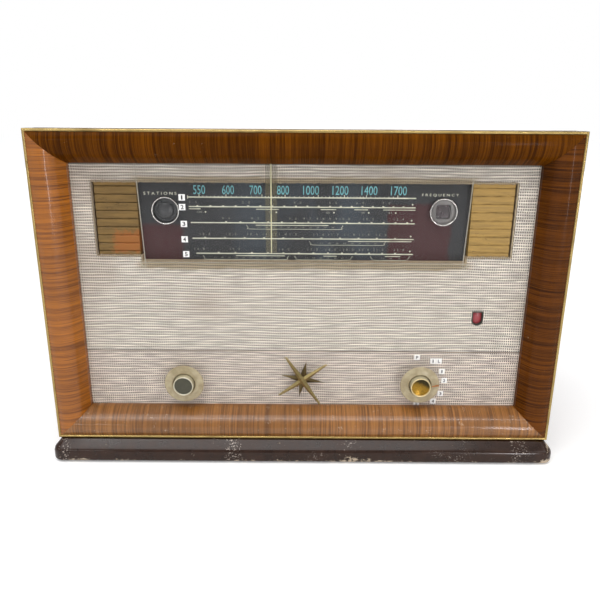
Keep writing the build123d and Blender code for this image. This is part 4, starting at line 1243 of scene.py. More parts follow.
# ---- cloth ----
@dataclass
class ClothFront:
    """The two cloths on the baffle, with their ribs as real relief, and the frayed edge round the dial
    opening."""

    maker: Maker
    half: float = 254.5
    low: float = 15.5
    seam: float = 94.5
    shade: float = 295.6
    high: float = 311.5
    face: float = 22.5
    pitch: float = 2.9
    relief: float = 0.2
    warp: float = 2.35
    per_rib: int = 6

    def ribs(self, x: Array, h: Array) -> Array:
        """Rib number at a place: height over pitch, bent by three slow waves along the cloth."""
        bend = (0.20 * np.sin(x * 0.019 + h * 0.013) + 0.11 * np.sin(x * 0.047 - h * 0.05 + 1.3)
                + 0.05 * np.sin(x * 0.131 + h * 0.21))
        return h / self.pitch + bend

    def weave(self, low: float, high: float, holes: Sequence[tuple[float, float, float, float]]) -> Surface:
        """A panel of cloth: depth = face + relief (1 - |sin(pi rib)|^0.6 swell), less the faces inside its
        holes.

        Args:
            low: lower edge.
            high: upper edge.
            holes: (x0, x1, h0, h1) openings, on grid lines.

        Returns:
            An open surface whose UV counts warp threads and ribs.
        """
        xs = np.unique(np.concatenate([np.linspace(-self.half, self.half,
                                                   86)] + [hole[:2] for hole in holes]))
        rows = int((high - low) / self.pitch * self.per_rib)
        hs = np.unique(np.concatenate([np.linspace(low, high, rows)] + [hole[2:] for hole in holes]))
        h, x = np.meshgrid(hs, xs, indexing="ij")
        rib = self.ribs(x, h)
        swell = 0.75 + 0.25 * np.sin(np.floor(rib) * 12.9898) * np.sin(x * 0.05 + np.floor(rib) * 4.1)
        depth = self.face + self.relief * (1 - np.abs(np.sin(math.pi * rib)) ** 0.6 * swell)
        points = np.stack([x, depth, h], axis=-1).reshape(-1, 3)
        uv = np.stack([x / self.warp, rib], axis=-1).reshape(-1, 2)
        faces = grid_quads(len(hs), len(xs))
        centre = points[faces].mean(axis=1)
        keep = np.ones(len(faces), bool)
        for x0, x1, h0, h1 in holes:
            keep &= ~((centre[:, 0] > x0) & (centre[:, 0] < x1) & (centre[:, 2] > h0) & (centre[:, 2] < h1))
        return Surface.of(points, faces[keep], uv=uv)

    def rolled_edge(self, outline: Array) -> Surface:
        """Turned-in cloth round the opening: a half round of 1.1 mm carried along the outline, frayed by a
        wave.

        Args:
            outline: closed (n, 2) path.

        Returns:
            The rolled edge as a closed ring.
        """
        n = len(outline)
        along = np.roll(outline, -1, axis=0) - np.roll(outline, 1, axis=0)
        along /= np.linalg.norm(along, axis=1, keepdims=True) + 1e-9
        side = np.stack([-along[:, 1], along[:, 0]], axis=1)
        k = np.arange(n)
        rough = 1.0 + 0.22 * np.sin(k * 2.4) + 0.16 * np.sin(k * 0.73 + 1) + 0.2 * np.sin(k * 5.1)
        angle = np.linspace(0, 2 * math.pi, 9, endpoint=False)[:, None]
        offset = 1.15 * np.cos(angle) * rough[None]
        flat = outline[None] + side[None] * offset[..., None]
        depth = self.face - 0.1 - 0.75 * np.sin(angle) * rough[None]
        points = np.stack([flat[..., 0], depth, flat[..., 1]], axis=-1).reshape(-1, 3)
        uv = np.stack([flat[..., 0] / self.warp, angle + 0 * offset], axis=-1).reshape(-1, 2)
        return Surface.of(points, grid_quads(9, n, True, True), uv=uv)

    def fibres(self, count: int = 420) -> Surface:
        """Loose threads at the opening: short tapering blades that curl over the dial from its edges."""
        rng = np.random.default_rng(11)
        top = rng.random(count) < 0.6
        x = rng.uniform(-214, 214, count)
        h = np.where(top, 278.6, np.where(np.abs(x) < 170, 195.6, 201.6))
        lean, length = rng.normal(0, 1.0, count), rng.uniform(0.8, 2.8, count)
        s = np.linspace(0, 1, 5)[None, :]
        drop = np.where(top, -1.0, 1.0)[:, None] * length[:, None] * s
        across = x[:, None] + lean[:, None] * s ** 2 * 1.6
        width = 0.16 * (1 - 0.8 * s)
        depth = self.face - 0.4 - 0.5 * s * rng.random(count)[:, None]
        edge = [np.stack([across + k * width, depth, h[:, None] + drop], axis=-1) for k in (-1, 1)]
        points = np.stack(edge, axis=1).reshape(-1, 3)
        base = (10 * np.arange(count))[:, None, None]
        faces = (grid_quads(2, 5)[None] + base).reshape(-1, 4)
        uv = np.zeros((len(points), 2))
        return Surface.of(points, faces, uv=uv)

    def build(self) -> None:
        window = (-169.5, 169.5, 195.5, 278.5)
        ends = (-216.0, 216.0, 201.5, 278.5)
        pilot = (182.0, 192.6, 127.0, 141.2)
        base = self.maker.datum.base
        # soil strips, plus painted shade along the seam and under the top rail
        soiled_and_shaded_cloth = RibbedCloth(CLOTH.name, CLOTH.colour, CLOTH.rough, seam=base + self.seam * MM,
                             shadow=base + self.shade * MM,
                             strips=((base + 0.1880, base + 0.1956), (base + 0.2785, base + 0.2840)))
        upper = self.maker.piece("upper_speaker_cloth",
                                 self.weave(self.seam + 0.2, self.high, (window, ends, pilot)),
                                 soiled_and_shaded_cloth, replaces=("grille_cloth",), slot="cloth", facing=Facing.FRONT,
                                 crease=180)
        lower = self.maker.piece("lower_control_cloth", self.weave(self.low, self.seam - 0.2, ()),
                                 CONTROL_CLOTH,
                                 replaces=("control_cloth",), slot="cloth", facing=Facing.FRONT, crease=180)
        corners = np.array([(-216, 278.5), (216, 278.5), (216, 201.5), (169.5, 201.5), (169.5, 195.5),
                            (-169.5, 195.5), (-169.5, 201.5), (-216, 201.5), (-216, 278.5)])
        steps = [np.linspace(a, b, max(3, int(np.linalg.norm(b - a) / 1.3)), endpoint=False)
                 for a, b in zip(corners[:-1], corners[1:])]
        self.maker.piece("cloth_rolled_edge", self.rolled_edge(np.vstack(steps)), FRAYED, slot="cloth",
                         crease=180)
        self.maker.piece("cloth_fray", self.fibres(), FRAYED, slot="cloth", facing=Facing.FRONT)
        self.maker.dress(BRASS, "shaft_bushes")


# ---- dial ----
@dataclass
class ScaleRow:
    """One printed scale: its line, bumps, figures, second line and dots."""

    height: float
    start: float
    bumps: tuple[float, float, float]
    figures: tuple[tuple[str, float], ...]
    second: tuple[tuple[float, float], ...]
    marks: tuple[tuple[str, float], ...] = ()
    brackets: tuple[tuple[float, float], ...] = ()


@dataclass
class Dial:
    """Everything in and on the dial opening."""

    maker: Maker
    print_front: float = 19.86
    print_back: float = 20.02
    end: float = 112.9
    tab_x: float = -124.0
    ring_x: float = 143.5
    ring_h: float = 248.0
    plate: float = 31.5
    gold_left: tuple[float, float] = (-213.8, -171.0)
    gold_right: tuple[float, float] = (171.0, 213.6)
    gold_low: float = 202.0
    gold_high: float = 278.0
    ribs: int = 9
    rib_phase: float = 0.53
    stations: tuple[tuple[str, float], ...] = (("550", -106.6), ("600", -77.4), ("700", -49.6),
                                               ("800", -21.9),
                                               ("1000", 6.4), ("1200", 36.1), ("1400", 65.4), ("1700", 95.1))
    majors: tuple[float, ...] = (-106.9, -79.6, -43.2, -19.8, 13.8, 40.3, 62.5, 94.3)
    rows: tuple[ScaleRow, ...] = field(default_factory=lambda: (
        ScaleRow(253.6, -117.9, (-109.0, 13.2, 0.985), (("3.5", -113.5), ("2.0", -59.5), ("4.0", -7.1),
                                                        ("5.0", 28.9), ("6.0", 56.5), ("7.0", 82.9)),
                 ((-117.9, -105.8), (-49.3, -26.0), (16.4, 32.3), (50.7, 64.8), (80.0, 112.9)),
                 (("120", -107.0), ("90", -34.6), ("60", 24.0), ("49", 59.5), ("41", 87.0))),
        ScaleRow(237.2, -116.4, (-80.3, 14.6, 0.985), (("9.4", -80.3), ("9.5", -50.6), ("9.6", -11.9),
                                                       ("9.7", 2.8), ("9.8", 16.4), ("9.9", 29.3), ("10.0", 41.3), ("10.2", 65.5), ("12.4", 96.6)),
                 ((-50.0, 24.7),), (), ((-59.5, 39.8),)),
        ScaleRow(220.8, -115.4, (-102.4, 20.5, 0.99), (("10.4", -102.4), ("10.5", -75.5), ("10.6", -53.4),
                                                       ("11.0", -37.4), ("11.4", -24.3), ("11.5", -13.2), ("11.6", 14.9), ("11.7", 30.0),
                                                       ("11.8", 46.7), ("11.9", 61.8), ("12.0", 79.2)), ((45.2, 110.9),), (), ((5.0, 84.4),)),
        ScaleRow(205.0, -112.0, (-89.0, 17.5, 0.975), (("14.8", -108.7), ("15.0", -71.9), ("16.0", -20.8),
                                                       ("17.0", 8.8), ("18.0", 27.7), ("19.0", 45.9), ("20.0", 61.8), ("21.0", 76.9),
                                                       ("22.0", 98.2)),
                 ((-71.0, -20.0), (20.0, 34.0), (84.0, 100.0)), (),
                 ((-105.3, -15.9), (-10.2, 50.4), (68.6, 110.2))),
    ))

    def bump_places(self, row: ScaleRow) -> Array:
        """Places of a row's bumps: steps that shrink by a fixed ratio, up to the end of the line."""
        first, step, ratio = row.bumps
        places = first + step * (1 - ratio ** np.arange(40)) / (1 - ratio)
        return places[places < self.end - 6]

    def row_print(self, row: ScaleRow) -> Surface:
        """Lines, bumps, brackets and end dot of one row as thin raised print."""
        h = row.height
        lines = [(row.start, self.end, h - 0.55, h + 0.55)]
        lines += [(a, b, h - 2.7, h - 2.0) for a, b in row.second]
        lines += [(x - 0.9, x + 0.9, h + 0.5, h + 1.5) for x in self.bump_places(row)]
        parts = [bars(np.array(lines), self.print_front, self.print_back)]
        parts.append(discs([(self.end - 3.2, h + 3.2), *[(x + 6.0, h - 5.4) for _, x in row.marks]], 0.8,
                           self.print_front, self.print_back))
        for a, b in row.brackets:
            path = smooth_curve([(a, h - 2.2), (a + 1.8, h - 4.6), (a + 5.0, h - 6.4),
                                 ((a + b) / 2, h - 6.4),
                                 (b - 5.0, h - 6.4), (b - 1.8, h - 4.6), (b, h - 2.2)], 5)
            parts.append(ribbon(path, 0.34, self.print_front, self.print_back))
        return Surface.join(parts)

    def first_row(self) -> Surface:
        """The top scale: a line with a rising comb of fine marks and a taller mark at each station."""
        h, start = 263.2, -119.0
        lines = [(start, self.end, h - 0.6, h + 0.6), (start, start + 0.8, h - 1.6, h + 1.6)]
        lines += [(x - 0.35, x + 0.35, h, h + 2.9) for x in self.majors]
        spans = zip(self.majors[:-1], self.majors[1:])
        fine = np.concatenate([np.linspace(a, b, 8)[1:-1] for a, b in spans])
        lines += [(x - 0.3, x + 0.3, h, h + 1.5) for x in fine]
        return bars(np.array(lines), self.print_front, self.print_back)

    def small_figures(self) -> Surface:
        """The small figures over the rows, the wavelength figures under them and the fine text in the
        brackets."""
        parts = []
        for row in self.rows:
            parts += [lettering("  ".join(text), x, row.height + 4.6, 2.3, 2.6 * len(text), self.print_front)
                      for text, x in row.figures]
            parts += [lettering(text, x, row.height - 5.4, 2.1, 1.7 * len(text), self.print_front)
                      for text, x in row.marks]
            for a, b in row.brackets:
                count = int((b - a - 14) / 7.5)
                for k in range(count):
                    x = a + 9 + (b - a - 16) * (k + 0.5) / count
                    parts.append(lettering(str(11 + (k * 7) % 19), x, row.height - 4.5, 1.5, 2.4,
                                           self.print_front))
        return Surface.join(parts)

    def tabs(self) -> tuple[Surface, Surface]:
        """Five white number tabs down the left of the scales and the figures on them."""
        heights = (263.2, 253.4, 236.2, 220.2, 204.6)
        plates = bars(np.array([(self.tab_x - 3.25 + 0.9 * (k // 2), self.tab_x + 3.25 + 0.9 * (k // 2),
                                 h - 3.2,
                                 h + 3.2) for k, h in enumerate(heights)]), 16.95, 17.22)
        figures = Surface.join(lettering(str(k + 1), self.tab_x + 0.9 * (k // 2), h, 4.3,
                                         1.5 if k == 0 else 2.9,
                                         16.88, 0.07, 0.02) for k, h in enumerate(heights))
        return plates, figures

    def ribbed_plate(self, edges: tuple[float, float], groove: float) -> Surface:
        """Ribbed plate: depth falls from 23.0 by 1.6 groove-shaped dips, (1 - |sin(pi rib)|)^groove, at each
        rib.

        Args:
            edges: left and right x.
            groove: higher is a finer groove.

        Returns:
            A closed surface.
        """
        xs = np.linspace(*edges, 24)
        hs = np.linspace(self.gold_low, self.gold_high, self.ribs * 16 + 1)
        h, x = np.meshgrid(hs, xs, indexing="ij")
        rib = (h - self.gold_high) / (self.gold_high - self.gold_low) * self.ribs + self.rib_phase
        warp = 0.012 * np.sin(x * 0.35 + np.floor(rib) * 2.1)
        dip = (1 - np.abs(np.sin(math.pi * (rib + warp)))) ** groove
        crown = 0.35 * (1 - np.abs(np.sin(math.pi * rib)))
        front = np.stack([x, 23.1 + 1.7 * dip + crown, h], axis=-1)
        rows, cols = front.shape[:2]
        back = front.copy()
        back[..., 1] = self.plate - 0.05
        points = np.concatenate([front.reshape(-1, 3), back.reshape(-1, 3)])
        sheet = grid_quads(rows, cols)
        n = rows * cols
        rim = np.concatenate([np.arange(cols), cols * np.arange(1, rows) + cols - 1,
                              n - 2 - np.arange(cols - 1), cols * np.arange(rows - 2, 0, -1)])
        walls = np.stack([rim, np.roll(rim, -1), np.roll(rim, -1) + n, rim + n], axis=1)
        return Surface.of(points, sheet, sheet[:, ::-1] + n, walls)

    def glass(self) -> Surface:
        """The glass: a slab with small ground bevels; its rim is a second slot."""
        half, low, high, r = 170.5, 190.3, 311.8, 5.0
        a = np.linspace(0, math.pi / 2, 8)
        left = np.stack([-half + r * (1 - np.sin(a)), low + r * (1 - np.cos(a))], axis=1)[::-1]
        right = np.stack([half - r * (1 - np.cos(a)), low + r * (1 - np.sin(a))], axis=1)[::-1]
        outline = np.vstack([[(-half, high)], left[::-1], right[::-1], [(half, high)]])
        centre = outline.mean(axis=0)
        layers = []
        for inset, depth in ((0.5, 17.3), (0.0, 17.7), (0.0, 19.4), (0.5, 19.8)):
            towards = centre - outline
            towards /= np.linalg.norm(towards, axis=1, keepdims=True)
            flat = outline + inset * towards
            layers.append(np.stack([flat[:, 0], np.full(len(flat), depth), flat[:, 1]], axis=1))
        n = len(outline)
        points = np.vstack(layers)
        caps = Surface.of(points, np.stack([np.arange(n), 3 * n + np.arange(n)[::-1]]))
        walls = Surface.of(points, grid_quads(4, n, False, True)).in_slot(1)
        return Surface.join([caps, walls])

    def rings(self) -> None:
        """Chrome bezels, the domed lens in the left one and the square window in the right one."""
        d = self.plate
        profile = smooth_curve([(12.3, d), (12.4, d - 3.4), (12.9, d - 5.2), (13.7, d - 5.8),
                                (14.4, d - 5.2),
                                (14.7, d - 3.6), (14.7, d)], 6)
        for name, x in (("left_bezel_ring", -self.ring_x), ("right_bezel_ring", self.ring_x)):
            node = ("dial_rings",) if x < 0 else ()
            self.maker.piece(name, turned(profile, x, self.ring_h, closed=True), CHROME, replaces=node,
                             slot="chrome")
        dome = smooth_curve([(0, d - 5.0), (4, d - 4.6), (7.5, d - 3.0), (8.6, d - 1.2)], 6)
        step = np.vstack([dome, [(9.6, d - 1.0), (10.0, d - 1.9), (11.4, d - 1.9), (12.2, d - 0.6),
                                 (12.2, d + 60.8),
                                 (14.0, d + 61.6), (14.0, d + 80.5), (0, d + 80.5)]])
        self.maker.piece("left_lens", turned(step, -self.ring_x, self.ring_h), LENS,
                         replaces=("tuning_eye_tube",),
                         slot="black_plastic", crease=30)
        angle = np.linspace(0, 2 * math.pi, 64, endpoint=False)
        power = 0.28
        square = np.stack([np.sign(np.sin(angle)) * np.abs(np.sin(angle)) ** power,
                           np.sign(np.cos(angle)) * np.abs(np.cos(angle)) ** power], axis=1)
        circle = np.stack([np.sin(angle), np.cos(angle)], axis=1)
        centre = np.array([self.ring_x, self.ring_h])
        steps = ((circle * 12.28, d), (circle * 12.28, d - 2.2), (circle * 11.2, d - 2.6),
                 (square * 8.0, d - 2.6),
                 (square * 7.4, d - 2.2), (square * 7.2, d + 0.9))
        rows = [np.stack([flat[:, 0] + centre[0], np.full(64, depth), flat[:, 1] + centre[1]], axis=1)
                for flat, depth in steps]
        self.maker.piece("right_window_mask", Surface.of(np.vstack(rows), grid_quads(6, 64, True, True)),
                         WINDOW_MASK, replaces=("indicator_mask",), slot="black_plastic")
        pane = bars(np.array([(self.ring_x - 7.6, self.ring_x + 7.6, self.ring_h - 7.6, self.ring_h + 7.6)]),
                    d - 0.4, d + 0.8)
        self.maker.piece("right_window_pane", pane, WINDOW, slot="black_plastic")

    def build(self) -> None:
        """Makes the print, figures, tabs, plates, rings and glass, and paints the dial plate."""
        datum = self.maker.datum
        low, high = datum.base + 0.194, datum.base + 0.255
        paint = DialPaint(DIAL_PAINT.name, DIAL_PAINT.colour, DIAL_PAINT.rough,
                          panels=((-0.172, -0.127, low, low + 0.0385), (0.088, 0.153, low, high)))
        self.maker.dress(paint, "dial_back_plate")
        cream = Surface.join([self.first_row(), *[self.row_print(row) for row in self.rows]])
        self.maker.piece("scale_lines", cream, PRINT_CREAM, slot="pointer_plastic")
        self.maker.piece("scale_small_figures", self.small_figures(), PRINT_DIM, slot="pointer_plastic")
        numerals = Surface.join(lettering(text, x, 270.7, 9.0, 4.0 * len(text), self.print_front)
                                for text, x in self.stations)
        self.maker.piece("station_numerals", numerals, PRINT_TEAL, slot="dial_black")
        words = Surface.join([lettering("S T A T I O N S", -146.3, 266.8, 3.0, 33.4, self.print_front),
                              lettering("F R E Q U E N C Y", 137.4, 266.5, 3.0, 37.2, self.print_front)])
        self.maker.piece("unit_words", words, PRINT_CREAM, slot="pointer_plastic")
        plates, figures = self.tabs()
        self.maker.piece("scale_number_tabs", plates, TAB_WHITE, slot="knob_cream")
        self.maker.piece("scale_tab_figures", figures, TAB_INK, slot="black_plastic")
        left = GoldFoil("gold_left", (0.27, 0.165, 0.052), 0.45, 0.35,
                        stain_low=(-0.198, 0.0, datum.base + 0.2055),
                        stain_high=(-0.168, 0.0, datum.base + 0.2265))
        right = GoldFoil("gold_right", (0.46, 0.29, 0.085), 0.40, 0.4, stain=(0.3, 0.18, 0.05), groove=0.42,
                         stain_low=(0.0, 0.0, 0.0), stain_high=(0.0, 0.0, 0.0))
        self.maker.piece("left_ribbed_plate", self.ribbed_plate(self.gold_left, 5.0), left,
                         replaces=("gold_panel_left",), slot="gold_plate", crease=50)
        self.maker.piece("right_ribbed_plate", self.ribbed_plate(self.gold_right, 14.0), right,
                         replaces=("gold_panel_right",), slot="gold_plate", crease=50)
        self.rings()
        self.maker.piece("dial_glass_sheet", self.glass(), (GLASS, GLASS_EDGE), replaces=("dial_glass",),
                         slot="glass", crease=30)


@dataclass
class Pointer:
    """The needle on its clear carrier, and the dial drive behind."""

    maker: Maker
    x: float = -34.0
    low: float = 204.5
    high: float = 313.9

    def build(self) -> None:
        """Makes the celluloid carrier and the needle, and dresses the drive."""
        hs = np.linspace(self.low, self.high, 60)
        across = np.linspace(-5.9, 5.9, 9)
        h, a = np.meshgrid(hs, across, indexing="ij")
        bow = 0.25 * (1 - (a / 5.9) ** 2)
        front = np.stack([self.x + a, 21.1 - bow, h], axis=-1).reshape(-1, 3)
        back = front + np.array([0.0, 0.35, 0.0])
        n, sheet = len(front), grid_quads(60, 9)
        rim = np.concatenate([np.arange(9), 9 * np.arange(1, 60) + 8, n - 2 - np.arange(8),
                              9 * np.arange(58, 0, -1)])
        walls = np.stack([rim, np.roll(rim, -1), np.roll(rim, -1) + n, rim + n], axis=1)
        carrier = Surface.of(np.vstack([front, back]), sheet, sheet[:, ::-1] + n, walls)
        self.maker.piece("pointer_carrier", carrier, POINTER_CLEAR, "pointer", replaces=("pointer_blade",),
                         slot="pointer_plastic")
        needle = bars(np.array([(self.x - 0.55, self.x + 0.55, self.low + 0.5, self.high)]), 20.45, 20.8)
        self.maker.piece("pointer_needle", needle, NEEDLE, "pointer", slot="pointer_plastic")
        self.maker.dress(STEEL, "pointer_carriage", "pointer_rail", "pulley_posts", "tuning_shaft",
                         "volume_shaft", "lamp_brackets", "volume_tone_control", "band_switch_rotor")
        self.maker.dress(PHENOLIC, "pulley_left", "pulley_right", "tuning_drum", "band_switch")
        self.maker.dress(CORD, "drive_cords")
        self.maker.dress(ALLOY, "tuning_capacitor", "capacitor_rotor", "chassis_cans", "chassis")


# ---- controls ----
@dataclass
class Knobs:
    """Two dual controls: a clear ring round an inner knob, with the band tabs round the right one."""

    maker: Maker
    left: float = -130.3
    right: float = 127.7
    h: float = 60.5
    tab_places: tuple[tuple[str, float, float], ...] = (("P", 125.1, 88.4), ("1", 143.0, 84.1),
                                                        ("L", 149.5, 84.1),
                                                        ("1", 153.6, 71.8), ("2", 156.9, 60.8),
                                                        ("3", 153.8, 44.9),
                                                        ("4", 146.1, 35.5), ("5", 127.6, 32.4))

    def ring(self, x: float) -> Surface:
        """The outer ring: a dished face with a rolled rim, a step up to the inner knob and a cup behind."""
        face = smooth_curve([(12.0, 9.4), (12.9, 8.5), (14.6, 8.7), (17.5, 9.5), (19.8, 9.6), (21.0, 9.9),
                             (21.4, 10.7), (21.0, 11.5)], 6)
        rear = np.array([(14.6, 11.6), (14.0, 12.2), (14.0, 19.5), (5.0, 19.5), (5.0, 18.0), (12.0, 18.0)])
        return turned(np.vstack([face, rear]), x, self.h, closed=True)

    def hub(self, x: float) -> Surface:
        """The inner knob: a clear drum, slot 0, with a bright rounded rim, slot 1, round a recess."""
        wall = smooth_curve([(9.7, 4.4), (10.7, 4.0), (10.9, 5.0), (11.0, 9.0), (11.2, 16.9)], 4)
        drum = turned(np.vstack([[(3.1, 6.6), (9.65, 6.6)], wall, [(3.1, 16.9)]]), x, self.h, closed=True)
        rim = smooth_curve([(9.65, 4.4), (9.7, 3.5), (10.1, 2.95), (10.55, 3.0), (10.8, 3.7), (10.75, 4.6)],
                           5)
        ring = turned(np.vstack([rim, [(10.2, 4.9)]]), x, self.h, closed=True)
        return Surface.join([drum, ring.in_slot(1)])

    def dish(self, x: float, rim: float, middle: float) -> Surface:
        """A turned disc in the recess; its face goes from rim depth to middle depth as a quarter wave."""
        r = np.linspace(0.0, 9.6, 16)
        face = np.stack([r, middle + (rim - middle) * (1 - np.cos(r / r[-1] * math.pi / 2))], axis=1)
        return turned(np.vstack([face, [(9.6, 6.5), (0.0, 6.5)]]), x, self.h)

    def tabs(self) -> None:
        """White tabs on the cloth round the right control, each with its figure."""
        plates = np.array([(x - 3.1, x + 3.1, h - 3.1, h + 3.1) for _, x, h in self.tab_places])
        self.maker.piece("band_tabs", bars(plates, 21.9, 22.5), TAB_WHITE, slot="knob_cream")
        figures = Surface.join(lettering(text, x, h, 3.6, 1.2 if text == "1" else 2.4, 21.8, 0.12, 0.02)
                               for text, x, h in self.tab_places)
        self.maker.piece("band_tab_figures", figures, TAB_INK, slot="black_plastic")

    def build(self) -> None:
        """Makes both controls and the steel sleeves behind them."""
        for side, x, outer, inner, rim in (("tone", self.left, "tone_ring", "volume_knob", KNOB_CREAM),
                                           ("band", self.right, "band_ring", "tuning_knob", RIM_BRASS)):
            ring_body = "tone_control" if side == "tone" else "band_control"
            hub_body = "volume_control" if side == "tone" else "tuning_spindle"
            self.maker.piece(f"{side}_clear_ring", self.ring(x), KNOB_AMBER, ring_body, replaces=(outer,),
                             slot="knob_clear", crease=50)
            tail = [(5.0, 95.3)] if side == "tone" else [(5.0, 38.0), (12.6, 38.0), (12.6, 39.5),
                                                         (10.4, 39.5),
                                                         (10.4, 42.5), (12.6, 42.5), (12.6, 44.0)]
            sleeve = turned([(3.5, 19.4), (5.0, 19.4), *tail, (3.5, tail[-1][1])], x, self.h, 40, True)
            self.maker.piece(f"{side}_sleeve", sleeve, STEEL, ring_body, slot="steel", crease=30)
            self.maker.piece(f"{side}_inner_knob", self.hub(x), (KNOB_DRUM, rim), hub_body,
                             replaces=(inner,), slot="knob_cream", crease=50)
        self.maker.piece("volume_recess", self.dish(self.left, 4.3, 4.6), KNOB_RECESS, "volume_control",
                         slot="black_plastic", crease=50)
        middle = self.maker.datum.base + self.h * MM
        # the cap's dark colour is painted shade over the top of its dish
        cap = DishBrassWithPaintedShade("cap_brass", (0.33, 0.185, 0.020), 0.28, 0.75, tarnish_and_shade=(0.040, 0.030, 0.008),
                        middle=middle)
        self.maker.piece("tuning_cap_dish", self.dish(self.right, 4.4, 6.2), cap, "tuning_spindle",
                         replaces=("tuning_knob_cap",), slot="brass", crease=50)
        line = ribbon(smooth_curve([(self.right + 12.9, self.h - 0.8), (self.right + 17.0, self.h - 0.2),
                                    (self.right + 20.6, self.h + 0.2)], 5), 0.9, 8.4, 9.9)
        self.maker.piece("band_indicator_line", line, INDICATOR, "band_control", slot="knob_clear")
        self.tabs()


@dataclass
class Starburst:
    """The cast ornament: two long crossed bars over four short points."""

    maker: Maker
    x: float = -0.5
    h: float = 64.0

    def bar(self, angle: float, length: float, middle: float, tip: float, base: float,
            ridge: float) -> Surface:
        """A long ridged bar: half width and ridge height fall in proportion to distance from the middle.

        Args:
            angle: direction in degrees from +x.
            length: half length.
            middle: half width at the middle.
            tip: half width at the ends.
            base: depth of its rear face.
            ridge: how far the ridge stands forward at the middle.

        Returns:
            A closed surface.
        """
        u = np.linspace(-1, 1, 41)[None, :]
        taper = 1 - np.abs(u)
        wide = tip + (middle - tip) * taper ** 1.15
        across = np.array([-1.0, -1.0, 0.0, 1.0, 1.0])[:, None]
        lift = np.array([0.0, 0.35, 1.0, 0.35, 0.0])[:, None]
        run = length * u + 0 * across
        side = across * wide
        depth = base - lift * (1.2 + (ridge - 1.2) * taper)
        c, s = math.cos(math.radians(angle)), math.sin(math.radians(angle))
        points = np.stack([self.x + run * c - side * s, depth, self.h + run * s + side * c], axis=-1)
        ends = np.stack([np.arange(5) * 41, np.arange(5) * 41 + 40])
        return Surface.of(points.reshape(-1, 3), grid_quads(5, 41, True, False), ends)

    def build(self) -> None:
        """Makes the two bars and the four short points; the pin is the CAD node's and stays hidden behind."""
        self.maker.piece("ornament_long_bar", self.bar(-56.0, 33.6, 3.1, 1.1, 12.6, 4.2), STAR_BRASS,
                         replaces=("starburst_emblem",), slot="brass", crease=12)
        self.maker.piece("ornament_cross_bar", self.bar(35.4, 32.0, 3.1, 1.1, 14.8, 3.4), STAR_BRASS,
                         slot="brass",
                         crease=12)
        points = Surface.join([self.bar(79.5, 21.8, 4.4, 0.25, 17.4, 2.6),
                               self.bar(169.5, 23.6, 4.4, 0.25, 17.4, 2.6)])
        self.maker.piece("ornament_short_points", points, BRONZE, slot="brass", crease=12)
        post = turned([(0, 15.0), (2.6, 15.0), (3.2, 17.0), (3.2, 22.4), (0, 22.4)], self.x, self.h, 32)
        self.maker.piece("ornament_post", post, BRONZE, slot="brass")


@dataclass
class Pilot:
    """The pilot light: a dark shield-shaped rim round a red lens."""

    maker: Maker
    x: float = 187.3
    h: float = 134.0
    width: float = 12.4
    tall: float = 16.0

    def outline(self, shrink: float, count: int = 48) -> Array:
        """Square shoulders over a half-round foot, shrunk evenly."""
        r = self.width / 2 - shrink
        foot = self.h - self.tall / 2 + self.width / 2
        head = self.h + self.tall / 2 - shrink
        a = np.linspace(0, math.pi, count)
        arc = np.stack([self.x + r * np.cos(a), foot - r * np.sin(a)], axis=1)
        return np.vstack([arc, [(self.x - r, head), (self.x + r, head)]])

    def build(self) -> None:
        """Makes the rim as nested outlines and the lens as a shallow dome over the CAD jewel."""
        steps = ((0.0, 23.2), (0.1, 21.9), (0.8, 21.7), (1.3, 22.6), (1.3, 27.0), (0.0, 27.0))
        rows = [np.stack([o[:, 0], np.full(len(o), d), o[:, 1]], axis=1)
                for o, d in ((self.outline(s), d) for s, d in steps)]
        n = len(rows[0])
        self.maker.piece("pilot_rim", Surface.of(np.vstack(rows), grid_quads(6, n, True, True)), PILOT_RIM,
                         slot="black_plastic", crease=50)
        middle = np.array([self.x, self.h])
        share = np.linspace(0, 1, 10)[:, None, None]
        flat = middle + (self.outline(1.3)[None] - middle) * share
        depth = 23.6 + 1.5 * share[..., 0] ** 2 + 0 * flat[..., 0]
        points = np.stack([flat[..., 0], depth, flat[..., 1]], axis=-1).reshape(-1, 3)
        lens = Surface.of(points, grid_quads(10, n, False, True))
        self.maker.piece("pilot_lens", lens, PILOT_RED, replaces=("pilot_jewel",), slot="pilot_red",
                         facing=Facing.FRONT, crease=180)


@dataclass
class Inside:
    """What shows through the back cover's slots."""

    maker: Maker

    def build(self) -> None:
        """Dresses the speaker, valves, lamps and transformers."""
        self.maker.dress(STEEL, "speaker_basket")
        self.maker.dress(PAPER, "speaker_cone")
        self.maker.dress(VALVE_GLASS, "valves", "lamps")
        self.maker.dress(TRANSFORMER, "transformers")


